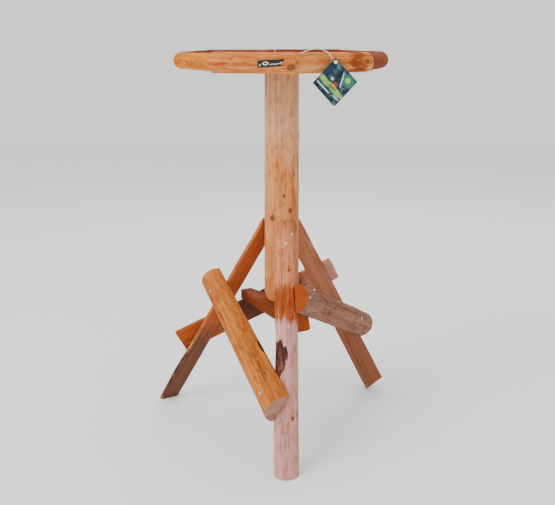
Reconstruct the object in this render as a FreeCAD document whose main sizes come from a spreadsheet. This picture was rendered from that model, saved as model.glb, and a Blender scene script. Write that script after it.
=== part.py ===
import FreeCAD, Part

import math
import os

import Sketcher

# Rustic log bird table. A round pole carries an octagonal tray rimmed with half-round logs. Three
# splayed half-log legs are screwed to the pole's foot, and three half-log braces run round them, each
# from high on one leg to low on the next. A squared offcut ties the front leg to the rear brace under
# the pole's foot. A loop of plastic cord, stapled to the rim, holds a square card tag.
#
# Millimetres, +Z up, the ground at Z = 0 and the origin at the middle of the footprint's box.
# An azimuth is an angle round the pole, from the front (-Y) towards +X.

X_AXIS = FreeCAD.Vector(1, 0, 0)
Y_AXIS = FreeCAD.Vector(0, 1, 0)
Z_AXIS = FreeCAD.Vector(0, 0, 1)
ORIGIN = FreeCAD.Vector(0, 0, 0)
NO_TURN = FreeCAD.Rotation()

# Driving dimensions: alias, value, meaning. Lengths in millimetres, angles in degrees.
DIMENSIONS = [
    ("pole_x", 25.0, "pole axis from the origin"),
    ("pole_y", 50.6, "pole axis from the origin"),
    ("pole_foot_height", 345, "underside of the pole"),
    ("pole_head_height", 962, "top of the pole, under the tray planks"),
    ("pole_foot_diameter", 92, "pole at its foot"),
    ("pole_head_diameter", 88, "pole at its head"),
    ("bevel_height", 20, "bevel round the pole's foot"),
    ("bevel_depth", 8, "bevel round the pole's foot"),
    ("leg_face", 45.8, "upright saw cut or cope of the legs, from the pole axis"),
    ("leg_stock", 760, "length of a leg's log before its ends are sawn"),
    ("leg_below", 60, "part of that length below the ground"),
    ("saw_size", 2400, "side of the block that stands for sawn-off waste"),
    ("front_azimuth", 0, "front leg round the pole"),
    ("front_lateral", 10.5, "front leg's pith, sideways from the pole axis"),
    ("front_reach", 340, "front leg's pith on the ground, from the pole axis"),
    ("front_tilt", 29.7, "front leg from upright"),
    ("front_roll", 0, "front leg about its pith"),
    ("front_foot_diameter", 62, "front leg's log"),
    ("front_head_diameter", 60, "front leg's log"),
    ("front_head_height", 567, "level saw cut at the front leg's head"),
    ("left_azimuth", -115.3, "left leg round the pole"),
    ("left_lateral", 0, "left leg's pith, sideways"),
    ("left_reach", 361, "left leg's pith on the ground"),
    ("left_tilt", 30.8, "left leg from upright"),
    ("left_roll", -27, "left leg about its pith"),
    ("left_foot_diameter", 50, "left leg's log"),
    ("left_head_diameter", 50, "left leg's log"),
    ("left_head_height", 562, "level saw cut at the left leg's head"),
    ("right_azimuth", 128.4, "right leg round the pole"),
    ("right_lateral", 6, "right leg's pith, sideways"),
    ("right_reach", 372, "right leg's pith on the ground"),
    ("right_tilt", 31.4, "right leg from upright"),
    ("right_roll", 75, "right leg about its pith"),
    ("right_foot_diameter", 61, "right leg's log"),
    ("right_head_diameter", 50, "right leg's log"),
    ("right_head_height", 555, "level saw cut at the right leg's head"),
    ("front_left_high_gap", 1, "brace's flat from the leg at its high end"),
    ("front_left_low_gap", 1, "brace's flat from the leg at its low end"),
    ("front_left_upper", 338, "brace's crossing of the leg at its high end, height"),
    ("front_left_lower", 155, "brace's crossing of the leg at its low end, height"),
    ("front_left_past", 34, "brace's run past the low leg's pith"),
    ("front_left_length", 497, "brace"),
    ("front_left_high_diameter", 72, "brace's log, high end"),
    ("front_left_low_diameter", 87, "brace's log, low end"),
    ("front_right_high_gap", 1.4, "brace's flat from the leg at its high end"),
    ("front_right_low_gap", 4.7, "brace's flat from the leg at its low end"),
    ("front_right_upper", 376, "brace's crossing of the leg at its high end, height"),
    ("front_right_lower", 239, "brace's crossing of the leg at its low end, height"),
    ("front_right_past", 88, "brace's run past the low leg's pith"),
    ("front_right_length", 443, "brace"),
    ("front_right_high_diameter", 74, "brace's log, high end"),
    ("front_right_low_diameter", 77, "brace's log, low end"),
    ("rear_high_gap", 1.3, "brace's flat from the leg at its high end"),
    ("rear_low_gap", 1.3, "brace's flat from the leg at its low end"),
    ("rear_upper", 369, "brace's crossing of the leg at its high end, height"),
    ("rear_lower", 207, "brace's crossing of the leg at its low end, height"),
    ("rear_past", 78, "brace's run past the low leg's pith"),
    ("rear_length", 487, "brace"),
    ("rear_high_diameter", 68, "brace's log, high end"),
    ("rear_low_diameter", 70, "brace's log, low end"),
    ("tie_rear_x", -100, "middle of the tie's rear end, from the pole axis"),
    ("tie_rear_y", 103, "middle of the tie's rear end, from the pole axis"),
    ("tie_azimuth", 34.5, "way that the tie runs, from the rear to the front"),
    ("tie_length", 279, "squared offcut under the pole's foot"),
    ("tie_rear_width", 32, "tie's thin end"),
    ("tie_rear_depth", 26, "tie's thin end"),
    ("tie_front_width", 50, "tie's thick end"),
    ("tie_front_depth", 52, "tie's thick end"),
    ("tie_first_screw", 124, "screw through the tie into the pole, from the thin end"),
    ("tie_second_screw", 158, "screw through the tie into the pole, from the thin end"),
    ("rim_azimuth", 6.3, "first corner of the tray"),
    ("rim_apothem", 233, "pole axis to the rim logs' flats"),
    ("rim_axis", 974.5, "height of the rim logs' piths"),
    ("rim_stock", 240, "length of a rim log before its mitres are sawn"),
    ("mitre_gap", 0.3, "half of the gap at a mitre"),
    ("plank_count", 5, "tray planks"),
    ("plank_gap", 3, "drain gap between planks"),
    ("plank_thickness", 16, "tray planks"),
    ("floor_apothem", 231, "pole axis to the sides of the tray floor"),
    ("batten_width", 40, "battens under the planks"),
    ("batten_depth", 13, "battens under the planks"),
    ("batten_length", 380, "battens under the planks"),
    ("screw_shank", 4, "diameter of every wood screw"),
    ("screw_head", 8, "diameter of a screw's head"),
    ("screw_head_depth", 2.6, "countersunk head"),
    ("screw_proud", 0.6, "top of a head above the wood"),
    ("leg_screw", 70, "screws through the legs into the pole"),
    ("brace_screw", 54, "screws through the braces into the legs"),
    ("tie_gap", 0.5, "tie from the flat of the brace"),
    ("tie_screw", 60, "screws up through the tie into the pole's foot"),
    ("plank_screw", 28, "screws through the planks into the battens"),
    ("pole_screw", 80, "screws through the middle plank into the pole"),
    ("rim_screw", 36, "slanting screws from under the planks into the rim"),
    ("label_width", 64, "label plate"),
    ("label_height", 15.5, "label plate"),
    ("label_thickness", 1, "label plate"),
    ("label_bite", 0.3, "label pressed into the log"),
    ("label_along", 47.5, "label's middle from the middle of its log, to the right"),
    ("label_tilt", 4.5, "label's rise to the right"),
    ("nail_diameter", 2, "nail standing in the rim"),
    ("nail_length", 22, "nail standing in the rim"),
    ("nail_proud", 5, "nail above the rim"),
    ("tag_azimuth", 19, "way that the tag faces"),
    ("tag_side", 77.2, "square card tag"),
    ("tag_thickness", 0.8, "card tag"),
    ("tag_hole", 5, "hole in the tag's top corner"),
    ("tag_hole_drop", 9, "hole below the tag's top corner"),
    ("tag_along", -10.3, "tag's hole from the middle of its log, to the right"),
    ("tag_out", 38.5, "tag's hole from the log's flat"),
    ("tag_height", 976.9, "height of the tag's hole"),
    ("fastener_pin", 3, "fastener's pin, through the tag"),
    ("fastener_head", 9, "fastener's front disc"),
    ("fastener_head_depth", 1.4, "fastener's front disc"),
    ("fastener_ball", 6.4, "fastener's ball, behind the tag"),
    ("fastener_play", 0.5, "tag's play on the pin, to each side"),
    ("cord_diameter", 1.8, "plastic loop cord"),
    ("cord_clearance", 0.4, "cord's end from the ball"),
    ("staple_wire", 1.2, "staple over the loop cord"),
    ("staple_radius", 3.2, "staple's arch"),
    ("staple_leg", 10, "staple's legs"),
    ("staple_arch_height", 996.4, "middle of the staple's arch"),
]

doc = FreeCAD.newDocument("BirdTable")
dims = doc.addObject("Spreadsheet::Sheet", "dims")
for row, (alias, value, meaning) in enumerate(DIMENSIONS, start=1):
    dims.set("A%d" % row, alias)
    dims.set("B%d" % row, str(value))
    dims.set("C%d" % row, meaning)
    dims.setAlias("B%d" % row, alias)
doc.recompute()

nodes = []


def dim(alias):
    """Value of a driving dimension."""
    return float(dims.get(alias))


def bind(feature, **expressions):
    """Bind a feature's properties to the spreadsheet; a bare alias is a whole expression."""
    for name, expression in expressions.items():
        if expression.isidentifier():
            expression = "dims." + expression
        feature.setExpression(name, expression)
    return feature


def keep(feature, label, placement=None):
    """Make a feature a sub-part of the bird table, under a label of its own."""
    feature.Label = label
    if placement is not None:
        feature.Placement = placement
    nodes.append(feature)
    return feature


def toward(azimuth):
    """Level unit vector away from the pole."""
    angle = math.radians(azimuth)
    return FreeCAD.Vector(math.sin(angle), -math.cos(angle), 0)


def sideways(azimuth):
    """Level unit vector to the right of toward(azimuth), for a viewer who faces the pole."""
    return toward(azimuth + 90)


def facing(point, x_dir, z_dir):
    """Placement at a point, with local Z along z_dir and local X as near x_dir as it can be."""
    return FreeCAD.Placement(point, FreeCAD.Rotation(x_dir, z_dir.cross(x_dir), z_dir, "ZXY"))


POLE_AXIS = FreeCAD.Vector(dim("pole_x"), dim("pole_y"), 0)


# ------------------------------------------------------------------ logs, saw cuts and screws
def half_log(name, start_diameter, end_diameter, length, start=0.0, roll=0.0):
    """Tapered half log along local Z from start, flat through the pith and its round side towards
    local X, turned about the pith by roll."""
    log = doc.addObject("Part::Cone", name)
    bind(log, Radius1="dims.%s / 2" % start_diameter, Radius2="dims.%s / 2" % end_diameter)
    bind(log, Height=length)
    log.Angle = 180
    log.Placement = FreeCAD.Placement(Z_AXIS * start, FreeCAD.Rotation(Z_AXIS, roll - 90))
    return log


def saw_off(piece, point, direction, placement):
    """Cut away all of a piece that lies past a plane. Point and direction are in the whole object's
    frame, and placement is where the piece will stand in it."""
    waste = doc.addObject("Part::Box", piece.Name + "_waste")
    bind(waste, Length="saw_size", Width="saw_size", Height="saw_size")
    half = dim("saw_size") / 2
    centred = FreeCAD.Placement(FreeCAD.Vector(-half, -half, 0), NO_TURN)
    plane = FreeCAD.Placement(point, FreeCAD.Rotation(Z_AXIS, direction))
    waste.Placement = placement.inverse().multiply(plane).multiply(centred)
    cut = doc.addObject("Part::Cut", piece.Name + "_sawn")
    cut.Base = piece
    cut.Tool = waste
    return cut


def wood_screws(label, length, places):
    """One node of equal screws. Each place is the head's point on the wood and the way out of it."""
    screws = []
    for count, (point, outward) in enumerate(places, start=1):
        name = "%s_%d" % (label, count)
        shank = doc.addObject("Part::Cylinder", name + "_shank")
        bind(shank, Radius="dims.screw_shank / 2", Height=length)
        shank.Placement.Base = Z_AXIS * -dim(length)
        head = doc.addObject("Part::Cone", name + "_head")
        bind(head, Radius1="dims.screw_shank / 2", Radius2="dims.screw_head / 2")
        bind(head, Height="screw_head_depth")
        head.Placement.Base = Z_AXIS * (dim("screw_proud") - dim("screw_head_depth"))
        screw = doc.addObject("Part::Fuse", name)
        screw.Base = shank
        screw.Tool = head
        screw.Placement = FreeCAD.Placement(point, FreeCAD.Rotation(Z_AXIS, outward))
        screws.append(screw)
    group = doc.addObject("Part::Compound", label)
    group.Links = screws
    return keep(group, label)


# ------------------------------------------------------------------ pole
def make_pole():
    """Round tapered pole, turned from a half outline with a bevel at its foot."""
    body = doc.addObject("PartDesign::Body", "pole_body")
    outline = body.newObject("Sketcher::SketchObject", "pole_outline")
    outline.AttachmentSupport = (origin_plane(body, "XZ_Plane"), "")
    outline.MapMode = "FlatFace"
    foot = dim("pole_foot_diameter") / 2
    head = dim("pole_head_diameter") / 2
    bevel = dim("bevel_depth")
    rise = dim("bevel_height")
    tall = dim("pole_head_height") - dim("pole_foot_height")
    draw_outline(outline, [(0, 0), (foot - bevel, 0), (foot, rise), (head, tall), (0, tall)])
    pin(outline, ("Coincident", 0, 1, -1, 1))
    pin(outline, ("Horizontal", 0))
    pin(outline, ("Horizontal", 3))
    pin(outline, ("Vertical", 4))
    flat = "dims.pole_foot_diameter / 2 - dims.bevel_depth"
    length = "dims.pole_head_height - dims.pole_foot_height"
    pin(outline, ("DistanceX", 0, 1, 0, 2, foot - bevel), "foot_flat", flat)
    pin(outline, ("DistanceX", -1, 1, 1, 2, foot), "foot_radius", "dims.pole_foot_diameter / 2")
    pin(outline, ("DistanceY", -1, 1, 1, 2, rise), "bevel", "dims.bevel_height")
    pin(outline, ("DistanceX", -1, 1, 2, 2, head), "head_radius", "dims.pole_head_diameter / 2")
    pin(outline, ("DistanceY", -1, 1, 2, 2, tall), "tall", length)
    turned = body.newObject("PartDesign::Revolution", "pole_turned")
    turned.Profile = outline
    turned.ReferenceAxis = (outline, ["V_Axis"])
    turned.Angle = 360
    keep(body, "pole", FreeCAD.Placement(POLE_AXIS + Z_AXIS * dim("pole_foot_height"), NO_TURN))


def origin_plane(body, role):
    """One of a body's own origin planes."""
    return next(feature for feature in body.Origin.OriginFeatures if feature.Role == role)


def draw_outline(sketch, corners):
    """Closed outline of straight lines through the corners."""
    points = [FreeCAD.Vector(x, y, 0) for x, y in corners]
    count = len(points)
    for side in range(count):
        sketch.addGeometry(Part.LineSegment(points[side], points[(side + 1) % count]), False)
    for side in range(count):
        pin(sketch, ("Coincident", side, 2, (side + 1) % count, 1))


def pin(sketch, constraint, name=None, expression=None):
    """Add a constraint to a sketch; with a name, its value follows an expression."""
    index = sketch.addConstraint(Sketcher.Constraint(*constraint))
    if name is not None:
        sketch.renameConstraint(index, name)
        sketch.setExpression("Constraints." + name, expression)


# ------------------------------------------------------------------ legs
class Leg:
    """Half-log leg. Local Z runs up the pith from the ground and local X points out and up."""

    def __init__(self, side):
        self.side = side
        self.azimuth = dim(side + "_azimuth")
        self.tilt = dim(side + "_tilt")
        self.roll = dim(side + "_roll")
        foot = toward(self.azimuth) * dim(side + "_reach")
        foot = foot + sideways(self.azimuth) * dim(side + "_lateral")
        lean = FreeCAD.Rotation(Y_AXIS, -self.tilt)
        turn = FreeCAD.Rotation(Z_AXIS, self.azimuth - 90).multiply(lean)
        self.placement = FreeCAD.Placement(POLE_AXIS + foot, turn)
        self.axis = turn.multVec(Z_AXIS)
        self.outward = turn.multVec(X_AXIS)

    def radius(self, along):
        """The log's radius, some way up the pith."""
        foot = dim(self.side + "_foot_diameter") / 2
        head = dim(self.side + "_head_diameter") / 2
        return foot + (head - foot) * (along + dim("leg_below")) / dim("leg_stock")

    def pith(self, height):
        """Point of the pith at a height above the ground."""
        return self.placement.Base + self.axis * (height / self.axis.z)

    def reach(self, direction, height):
        """How far the wood reaches from the pith towards a direction square to the leg."""
        local = self.placement.Rotation.inverted().multVec(direction)
        angle = math.degrees(math.atan2(local.y, local.x)) - self.roll
        radius = self.radius(height / self.axis.z)
        if math.cos(math.radians(angle)) < 0:
            return radius * abs(math.sin(math.radians(angle)))
        return radius

    def surface(self, along, angle):
        """Point on the round side and the way out of it, by the angle from the outward line."""
        turn = FreeCAD.Rotation(self.axis, angle)
        outward = turn.multVec(self.outward)
        return self.placement.Base + self.axis * along + outward * self.radius(along), outward

    def driven(self, along, angle):
        """Point on the round side, by its angle, for a screw driven square to the leg."""
        return self.surface(along, angle)[0], self.outward

    def build(self, square_foot, coped):
        """The leg, coped to the round pole or sawn upright against it, level at its head and at its
        foot level or square."""
        name = "leg_" + self.side
        diameters = (self.side + "_foot_diameter", self.side + "_head_diameter")
        log = half_log(name + "_log", *diameters, "leg_stock", -dim("leg_below"), self.roll)
        if square_foot:
            lift = self.radius(0) * math.sin(math.radians(self.roll)) * math.tan(math.radians(self.tilt))
            foot = saw_off(log, self.placement.Base + self.axis * lift, self.axis * -1, self.placement)
        else:
            foot = saw_off(log, POLE_AXIS, Z_AXIS * -1, self.placement)
        if coped:
            bit = doc.addObject("Part::Cylinder", name + "_cope")
            bind(bit, Radius="leg_face", Height="saw_size")
            bit.Placement = self.placement.inverse().multiply(FreeCAD.Placement(POLE_AXIS, NO_TURN))
            against_pole = doc.addObject("Part::Cut", name + "_coped")
            against_pole.Base = foot
            against_pole.Tool = bit
        else:
            face = POLE_AXIS + toward(self.azimuth) * dim("leg_face")
            against_pole = saw_off(foot, face, toward(self.azimuth) * -1, self.placement)
        head = POLE_AXIS + Z_AXIS * dim(self.side + "_head_height")
        keep(saw_off(against_pole, head, Z_AXIS, self.placement), name, self.placement)


# ------------------------------------------------------------------ braces
class Brace:
    """Half log screwed to the outer sides of two legs, flat inwards, high on one and low on the next."""

    def __init__(self, side, high_leg, low_leg):
        self.side = side
        normal = high_leg.axis.cross(low_leg.axis).normalize()
        if normal.dot(high_leg.outward + low_leg.outward) < 0:
            normal = normal * -1
        self.high = self.crossing(high_leg, dim(side + "_upper"), normal, dim(side + "_high_gap"))
        self.low = self.crossing(low_leg, dim(side + "_lower"), normal, dim(side + "_low_gap"))
        along = (self.high - self.low).normalize()
        self.placement = facing(self.low - along * dim(side + "_past"), normal, along)
        self.outward = self.placement.Rotation.multVec(X_AXIS)
        self.along = along

    def crossing(self, leg, height, normal, gap):
        """Point of the brace's flat over a leg's pith."""
        return leg.pith(height) + normal * (leg.reach(normal, height) + gap)

    def screw(self, point, inset=0.0):
        """Head and way out of a screw over a point of the flat, moved some way towards the high end."""
        length = dim(self.side + "_length")
        low = dim(self.side + "_low_diameter") / 2
        high = dim(self.side + "_high_diameter") / 2
        along = (point - self.placement.Base).dot(self.along) + inset
        radius = low + (high - low) * along / length
        return self.placement.Base + self.along * along + self.outward * radius, self.outward

    def build(self):
        """The brace, with both ends sawn square."""
        diameters = (self.side + "_low_diameter", self.side + "_high_diameter")
        log = half_log("brace_" + self.side, *diameters, self.side + "_length")
        keep(log, "brace_" + self.side, self.placement.multiply(log.Placement))


# ------------------------------------------------------------------ tie under the pole
def make_tie(brace):
    """Squared offcut, thin at the rear brace and thick at the front leg, with its top level and its
    thick end sawn back to the flat of the brace there."""
    wedge = doc.addObject("Part::Wedge", "tie_offcut")
    bind(wedge, Xmin="-dims.tie_rear_width / 2", Xmax="dims.tie_rear_width / 2")
    bind(wedge, Zmin="-dims.tie_rear_depth", Ymax="tie_length")
    bind(wedge, X2min="-dims.tie_front_width / 2", X2max="dims.tie_front_width / 2")
    bind(wedge, Z2min="-dims.tie_front_depth")
    wedge.Ymin = 0
    wedge.Zmax = 0
    wedge.Z2max = 0
    rear = POLE_AXIS + FreeCAD.Vector(dim("tie_rear_x"), dim("tie_rear_y"), dim("pole_foot_height"))
    placement = facing(rear, sideways(dim("tie_azimuth")) * -1, Z_AXIS)
    flat = brace.placement.Base - brace.outward * dim("tie_gap")
    keep(saw_off(wedge, flat, brace.outward, placement), "pole_tie", placement)
    thickening = (dim("tie_front_depth") - dim("tie_rear_depth")) / dim("tie_length")
    places = []
    for along in (dim("tie_first_screw"), dim("tie_second_screw")):
        depth = dim("tie_rear_depth") + thickening * along
        places.append((rear + toward(dim("tie_azimuth")) * along - Z_AXIS * depth, Z_AXIS * -1))
    wood_screws("tie_screws", "tie_screw", places)


# ------------------------------------------------------------------ tray
# Each rim log from one corner to the next: name, diameter at its first and at its second corner.
RIM_LOGS = [
    ("rim_front_right", 49, 46),
    ("rim_right_front", 43, 44),
    ("rim_right_rear", 44, 46),
    ("rim_rear_right", 47, 44),
    ("rim_rear_left", 43, 46),
    ("rim_left_rear", 46, 42),
    ("rim_left_front", 39, 46),
    ("rim_front_left", 48, 49),
]


def rim_point(azimuth, along, out, height):
    """Point by a rim log: along it to the right, out from its flat, and up."""
    level = toward(azimuth) * (dim("rim_apothem") + out) + sideways(azimuth) * along
    return POLE_AXIS + level + Z_AXIS * height


def make_rim():
    """Eight half-round logs, flats inwards, mitred at the corners, their piths level."""
    step = 360 / len(RIM_LOGS)
    for index, (name, first, second) in enumerate(RIM_LOGS):
        start = dim("rim_azimuth") + index * step
        middle = start + step / 2
        end = start + step
        log = doc.addObject("Part::Cone", name + "_log")
        log.Radius1 = first / 2
        log.Radius2 = second / 2
        log.Angle = 180
        bind(log, Height="rim_stock")
        log.Placement = FreeCAD.Placement(ORIGIN, FreeCAD.Rotation(Z_AXIS, -90))
        base = rim_point(middle, -dim("rim_stock") / 2, 0, dim("rim_axis"))
        placement = facing(base, toward(middle), sideways(middle))
        gap = dim("mitre_gap")
        first_cut = saw_off(log, POLE_AXIS + sideways(start) * gap, sideways(start) * -1, placement)
        second_cut = saw_off(first_cut, POLE_AXIS - sideways(end) * gap, sideways(end), placement)
        keep(second_cut, name, placement)


def make_floor():
    """Planks side by side, sawn to the octagon inside the rim, on two battens that grip the pole."""
    turn = dim("rim_azimuth") - 180 / len(RIM_LOGS)
    top = dim("pole_head_height")
    placement = FreeCAD.Placement(POLE_AXIS + Z_AXIS * top, FreeCAD.Rotation(Z_AXIS, turn))
    octagon = doc.addObject("Part::Prism", "floor_octagon")
    octagon.Polygon = len(RIM_LOGS)
    bind(octagon, Circumradius="dims.floor_apothem / cos(22.5 deg)", Height="plank_thickness")
    octagon.Placement.Rotation = FreeCAD.Rotation(Z_AXIS, 180 / len(RIM_LOGS))
    count = int(dim("plank_count"))
    gap = dim("plank_gap")
    width = (2 * dim("floor_apothem") - (count - 1) * gap) / count
    for index in range(count):
        board = doc.addObject("Part::Box", "plank_board_%d" % (index + 1))
        bind(board, Length="2 * dims.floor_apothem", Height="plank_thickness")
        share = "(2 * dims.floor_apothem - (dims.plank_count - 1) * dims.plank_gap) / dims.plank_count"
        bind(board, Width=share)
        left = -dim("floor_apothem")
        board.Placement.Base = FreeCAD.Vector(left, left + index * (width + gap), 0)
        plank = doc.addObject("Part::Common", "plank_%d" % (index + 1))
        plank.Base = board
        plank.Tool = octagon
        keep(plank, "tray_plank_%d" % (index + 1), placement)
    for name, side in (("batten_left", -1), ("batten_right", 1)):
        batten = doc.addObject("Part::Box", name)
        bind(batten, Length="batten_width", Width="batten_length", Height="batten_depth")
        inner = dim("pole_head_diameter") / 2 + 0.5
        middle = side * (inner + dim("batten_width") / 2)
        corner = FreeCAD.Vector(middle - dim("batten_width") / 2, -dim("batten_length") / 2, 0)
        corner.z = -dim("batten_depth")
        keep(batten, name, placement.multiply(FreeCAD.Placement(corner, NO_TURN)))
    make_tray_screws(placement, width + gap, inner + dim("batten_width") / 2)


def make_tray_screws(placement, pitch, batten_offset):
    """Screws of the tray: planks to battens, the middle plank to the pole, and floor to rim."""
    count = int(dim("plank_count"))
    upper = dim("plank_thickness")
    to_battens = []
    for index in range(count):
        across = (index - (count - 1) / 2) * pitch
        for side in (-1, 1):
            to_battens.append((side * batten_offset, across * 0.96))
    deck = [(placement.multVec(FreeCAD.Vector(x, y, upper)), Z_AXIS) for x, y in to_battens]
    wood_screws("plank_screws", "plank_screw", deck)
    thirds = [FreeCAD.Rotation(Z_AXIS, 120 * third).multVec(Y_AXIS * 24) for third in range(3)]
    crown = [(placement.multVec(FreeCAD.Vector(p.x, p.y, upper)), Z_AXIS) for p in thirds]
    wood_screws("pole_head_screws", "pole_screw", crown)
    slanting = []
    for index in range(len(RIM_LOGS)):
        middle = dim("rim_azimuth") + (index + 0.5) * 360 / len(RIM_LOGS)
        for side in (-1, 1):
            point = rim_point(middle, side * 66, -18, dim("pole_head_height"))
            slanting.append((point, (toward(middle) * -1.2 - Z_AXIS).normalize()))
    wood_screws("rim_screws", "rim_screw", slanting)


# ------------------------------------------------------------------ label and nail
def make_label():
    """Thin label plate on the front left rim log."""
    name, first, second = RIM_LOGS[-1]
    body = doc.addObject("PartDesign::Body", "label_body")
    outline = body.newObject("Sketcher::SketchObject", "label_outline")
    outline.AttachmentSupport = (origin_plane(body, "XY_Plane"), "")
    outline.MapMode = "FlatFace"
    wide = dim("label_width") / 2
    high = dim("label_height") / 2
    draw_outline(outline, [(-wide, -high), (wide, -high), (wide, high), (-wide, high)])
    for side in (0, 2):
        pin(outline, ("Horizontal", side))
        pin(outline, ("Vertical", side + 1))
    pin(outline, ("Symmetric", 0, 1, 1, 2, -1, 1))
    pin(outline, ("DistanceX", 0, 1, 0, 2, 2 * wide), "wide", "dims.label_width")
    pin(outline, ("DistanceY", 1, 1, 1, 2, 2 * high), "high", "dims.label_height")
    plate = body.newObject("PartDesign::Pad", "label_pad")
    plate.Profile = outline
    bind(plate, Length="label_thickness")
    azimuth = dim("rim_azimuth") - 180 / len(RIM_LOGS)
    share = 0.5 + dim("label_along") / dim("rim_stock")
    radius = (first + (second - first) * share) / 2
    point = rim_point(azimuth, dim("label_along"), radius - dim("label_bite"), dim("rim_axis"))
    level = facing(point, sideways(azimuth), toward(azimuth))
    tilt = FreeCAD.Placement(ORIGIN, FreeCAD.Rotation(Z_AXIS, dim("label_tilt")))
    keep(body, "label_plate", level.multiply(tilt))


def make_nail():
    """Nail left standing in the top of the front left rim log."""
    shank = doc.addObject("Part::Cylinder", "nail_shank")
    bind(shank, Radius="dims.nail_diameter / 2", Height="nail_length")
    head = doc.addObject("Part::Cylinder", "nail_head")
    bind(head, Radius="dims.nail_diameter", Height="dims.nail_diameter / 2")
    head.Placement.Base = Z_AXIS * dim("nail_length")
    nail = doc.addObject("Part::Fuse", "nail")
    nail.Base = shank
    nail.Tool = head
    second = RIM_LOGS[-1][2]
    azimuth = dim("rim_azimuth") - 180 / len(RIM_LOGS)
    wood = dim("rim_axis") + second / 2
    point = rim_point(azimuth, 52, 6, wood + dim("nail_proud") - dim("nail_length"))
    keep(nail, "rim_nail", FreeCAD.Placement(point, NO_TURN))


# ------------------------------------------------------------------ tag, its fastener and loop cord
TAG_LOG_AZIMUTH = dim("rim_azimuth") + 180 / len(RIM_LOGS)
TAG_HOLE = rim_point(TAG_LOG_AZIMUTH, dim("tag_along"), dim("tag_out"), dim("tag_height"))
TAG_NORMAL = toward(dim("tag_azimuth"))
TAG_PLACEMENT = facing(TAG_HOLE, sideways(dim("tag_azimuth")), TAG_NORMAL)
BALL_DROP = dim("tag_thickness") / 2 + dim("fastener_play") + dim("fastener_ball") / 2
BALL_CENTRE = TAG_HOLE - TAG_NORMAL * BALL_DROP


def make_tag():
    """Square card hung by a corner. Its local origin is the hole, local Y up and local Z outwards."""
    body = doc.addObject("PartDesign::Body", "tag_body")
    outline = body.newObject("Sketcher::SketchObject", "tag_outline")
    outline.AttachmentSupport = (origin_plane(body, "XY_Plane"), "")
    outline.MapMode = "FlatFace"
    side = dim("tag_side")
    half = side / math.sqrt(2)
    drop = dim("tag_hole_drop")
    draw_outline(outline, [(0, drop), (half, drop - half), (0, drop - 2 * half), (-half, drop - half)])
    hole = Part.Circle(ORIGIN, Z_AXIS, dim("tag_hole") / 2)
    outline.addGeometry(hole, False)
    for edge in (1, 2, 3):
        pin(outline, ("Equal", 0, edge))
    pin(outline, ("Perpendicular", 0, 1))
    pin(outline, ("PointOnObject", 0, 1, -2))
    pin(outline, ("PointOnObject", 2, 1, -2))
    pin(outline, ("Distance", 0, side), "side", "dims.tag_side")
    pin(outline, ("DistanceY", -1, 1, 0, 1, drop), "drop", "dims.tag_hole_drop")
    pin(outline, ("Coincident", 4, 3, -1, 1))
    pin(outline, ("Diameter", 4, dim("tag_hole")), "hole", "dims.tag_hole")
    card = body.newObject("PartDesign::Pad", "tag_card")
    card.Profile = outline
    bind(card, Length="tag_thickness")
    centred = FreeCAD.Placement(Z_AXIS * (-dim("tag_thickness") / 2), NO_TURN)
    keep(body, "hang_tag", TAG_PLACEMENT.multiply(centred))


def make_fastener():
    """Plastic fastener: a ball on the cord's end, a pin through the tag and a disc in front of it."""
    back = dim("tag_thickness") / 2 + dim("fastener_play")
    ball = doc.addObject("Part::Sphere", "fastener_ball")
    bind(ball, Radius="dims.fastener_ball / 2")
    ball.Placement.Base = Z_AXIS * -BALL_DROP
    stem = doc.addObject("Part::Cylinder", "fastener_stem")
    bind(stem, Radius="dims.fastener_pin / 2")
    bind(stem, Height="dims.tag_thickness + 2 * dims.fastener_play + dims.fastener_ball / 2")
    stem.Placement.Base = Z_AXIS * -BALL_DROP
    disc = doc.addObject("Part::Cylinder", "fastener_disc")
    bind(disc, Radius="dims.fastener_head / 2", Height="fastener_head_depth")
    disc.Placement.Base = Z_AXIS * back
    fastener = doc.addObject("Part::MultiFuse", "fastener")
    fastener.Shapes = [ball, stem, disc]
    keep(fastener, "tag_fastener", TAG_PLACEMENT)


# Route of the loop cord by the front right rim log: along it, out from its flat, and height.
CORD_ROUTE = [
    (-87.4, 12.0, 997.0),
    (-71.7, 17.0, 1004.3),
    (-49.7, 23.2, 1007.3),
    (-31.7, 28.3, 1003.4),
    (-21.5, 31.4, 994.6),
    (-16.5, 33.2, 985.6),
]


def rounded_path(points):
    """Straight runs joined by tangent arcs, each as large as its two runs allow; returns the wire and
    the radii."""
    edges = []
    radii = []
    start = points[0]
    for before, corner, after in zip(points, points[1:], points[2:]):
        back = (before - corner).normalize()
        ahead = (after - corner).normalize()
        half_turn = (math.pi - back.getAngle(ahead)) / 2
        trim = 0.45 * min((before - corner).Length, (after - corner).Length)
        radius = trim / math.tan(half_turn)
        radii.append(radius)
        first = corner + back * trim
        last = corner + ahead * trim
        inward = (back + ahead).normalize()
        middle = corner + inward * (radius / math.cos(half_turn) - radius)
        edges.append(Part.LineSegment(start, first).toShape())
        edges.append(Part.Arc(first, middle, last).toShape())
        start = last
    edges.append(Part.LineSegment(start, points[-1]).toShape())
    return Part.Wire(edges), radii


def make_cord():
    """Loop cord from the staple, over the rim's edge, to the fastener's ball."""
    points = [rim_point(TAG_LOG_AZIMUTH, *place) for place in CORD_ROUTE]
    shy = dim("fastener_ball") / 2 + dim("cord_clearance")
    points.append(BALL_CENTRE + (points[-1] - BALL_CENTRE).normalize() * shy)
    path, radii = rounded_path(points)
    radius = dim("cord_diameter") / 2
    section = Part.Wire(Part.Circle(points[0], points[1] - points[0], radius).toShape())
    tube = path.makePipeShell([section], True, False)
    cord = doc.addObject("Part::Feature", "tag_cord")
    cord.Shape = tube
    print("cord length %.1f, radii %s" % (path.Length, [round(r, 1) for r in radii]))
    print("cord volume %.2f, section by length %.2f" % (tube.Volume, math.pi * radius**2 * path.Length))
    keep(cord, "tag_cord")


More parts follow.
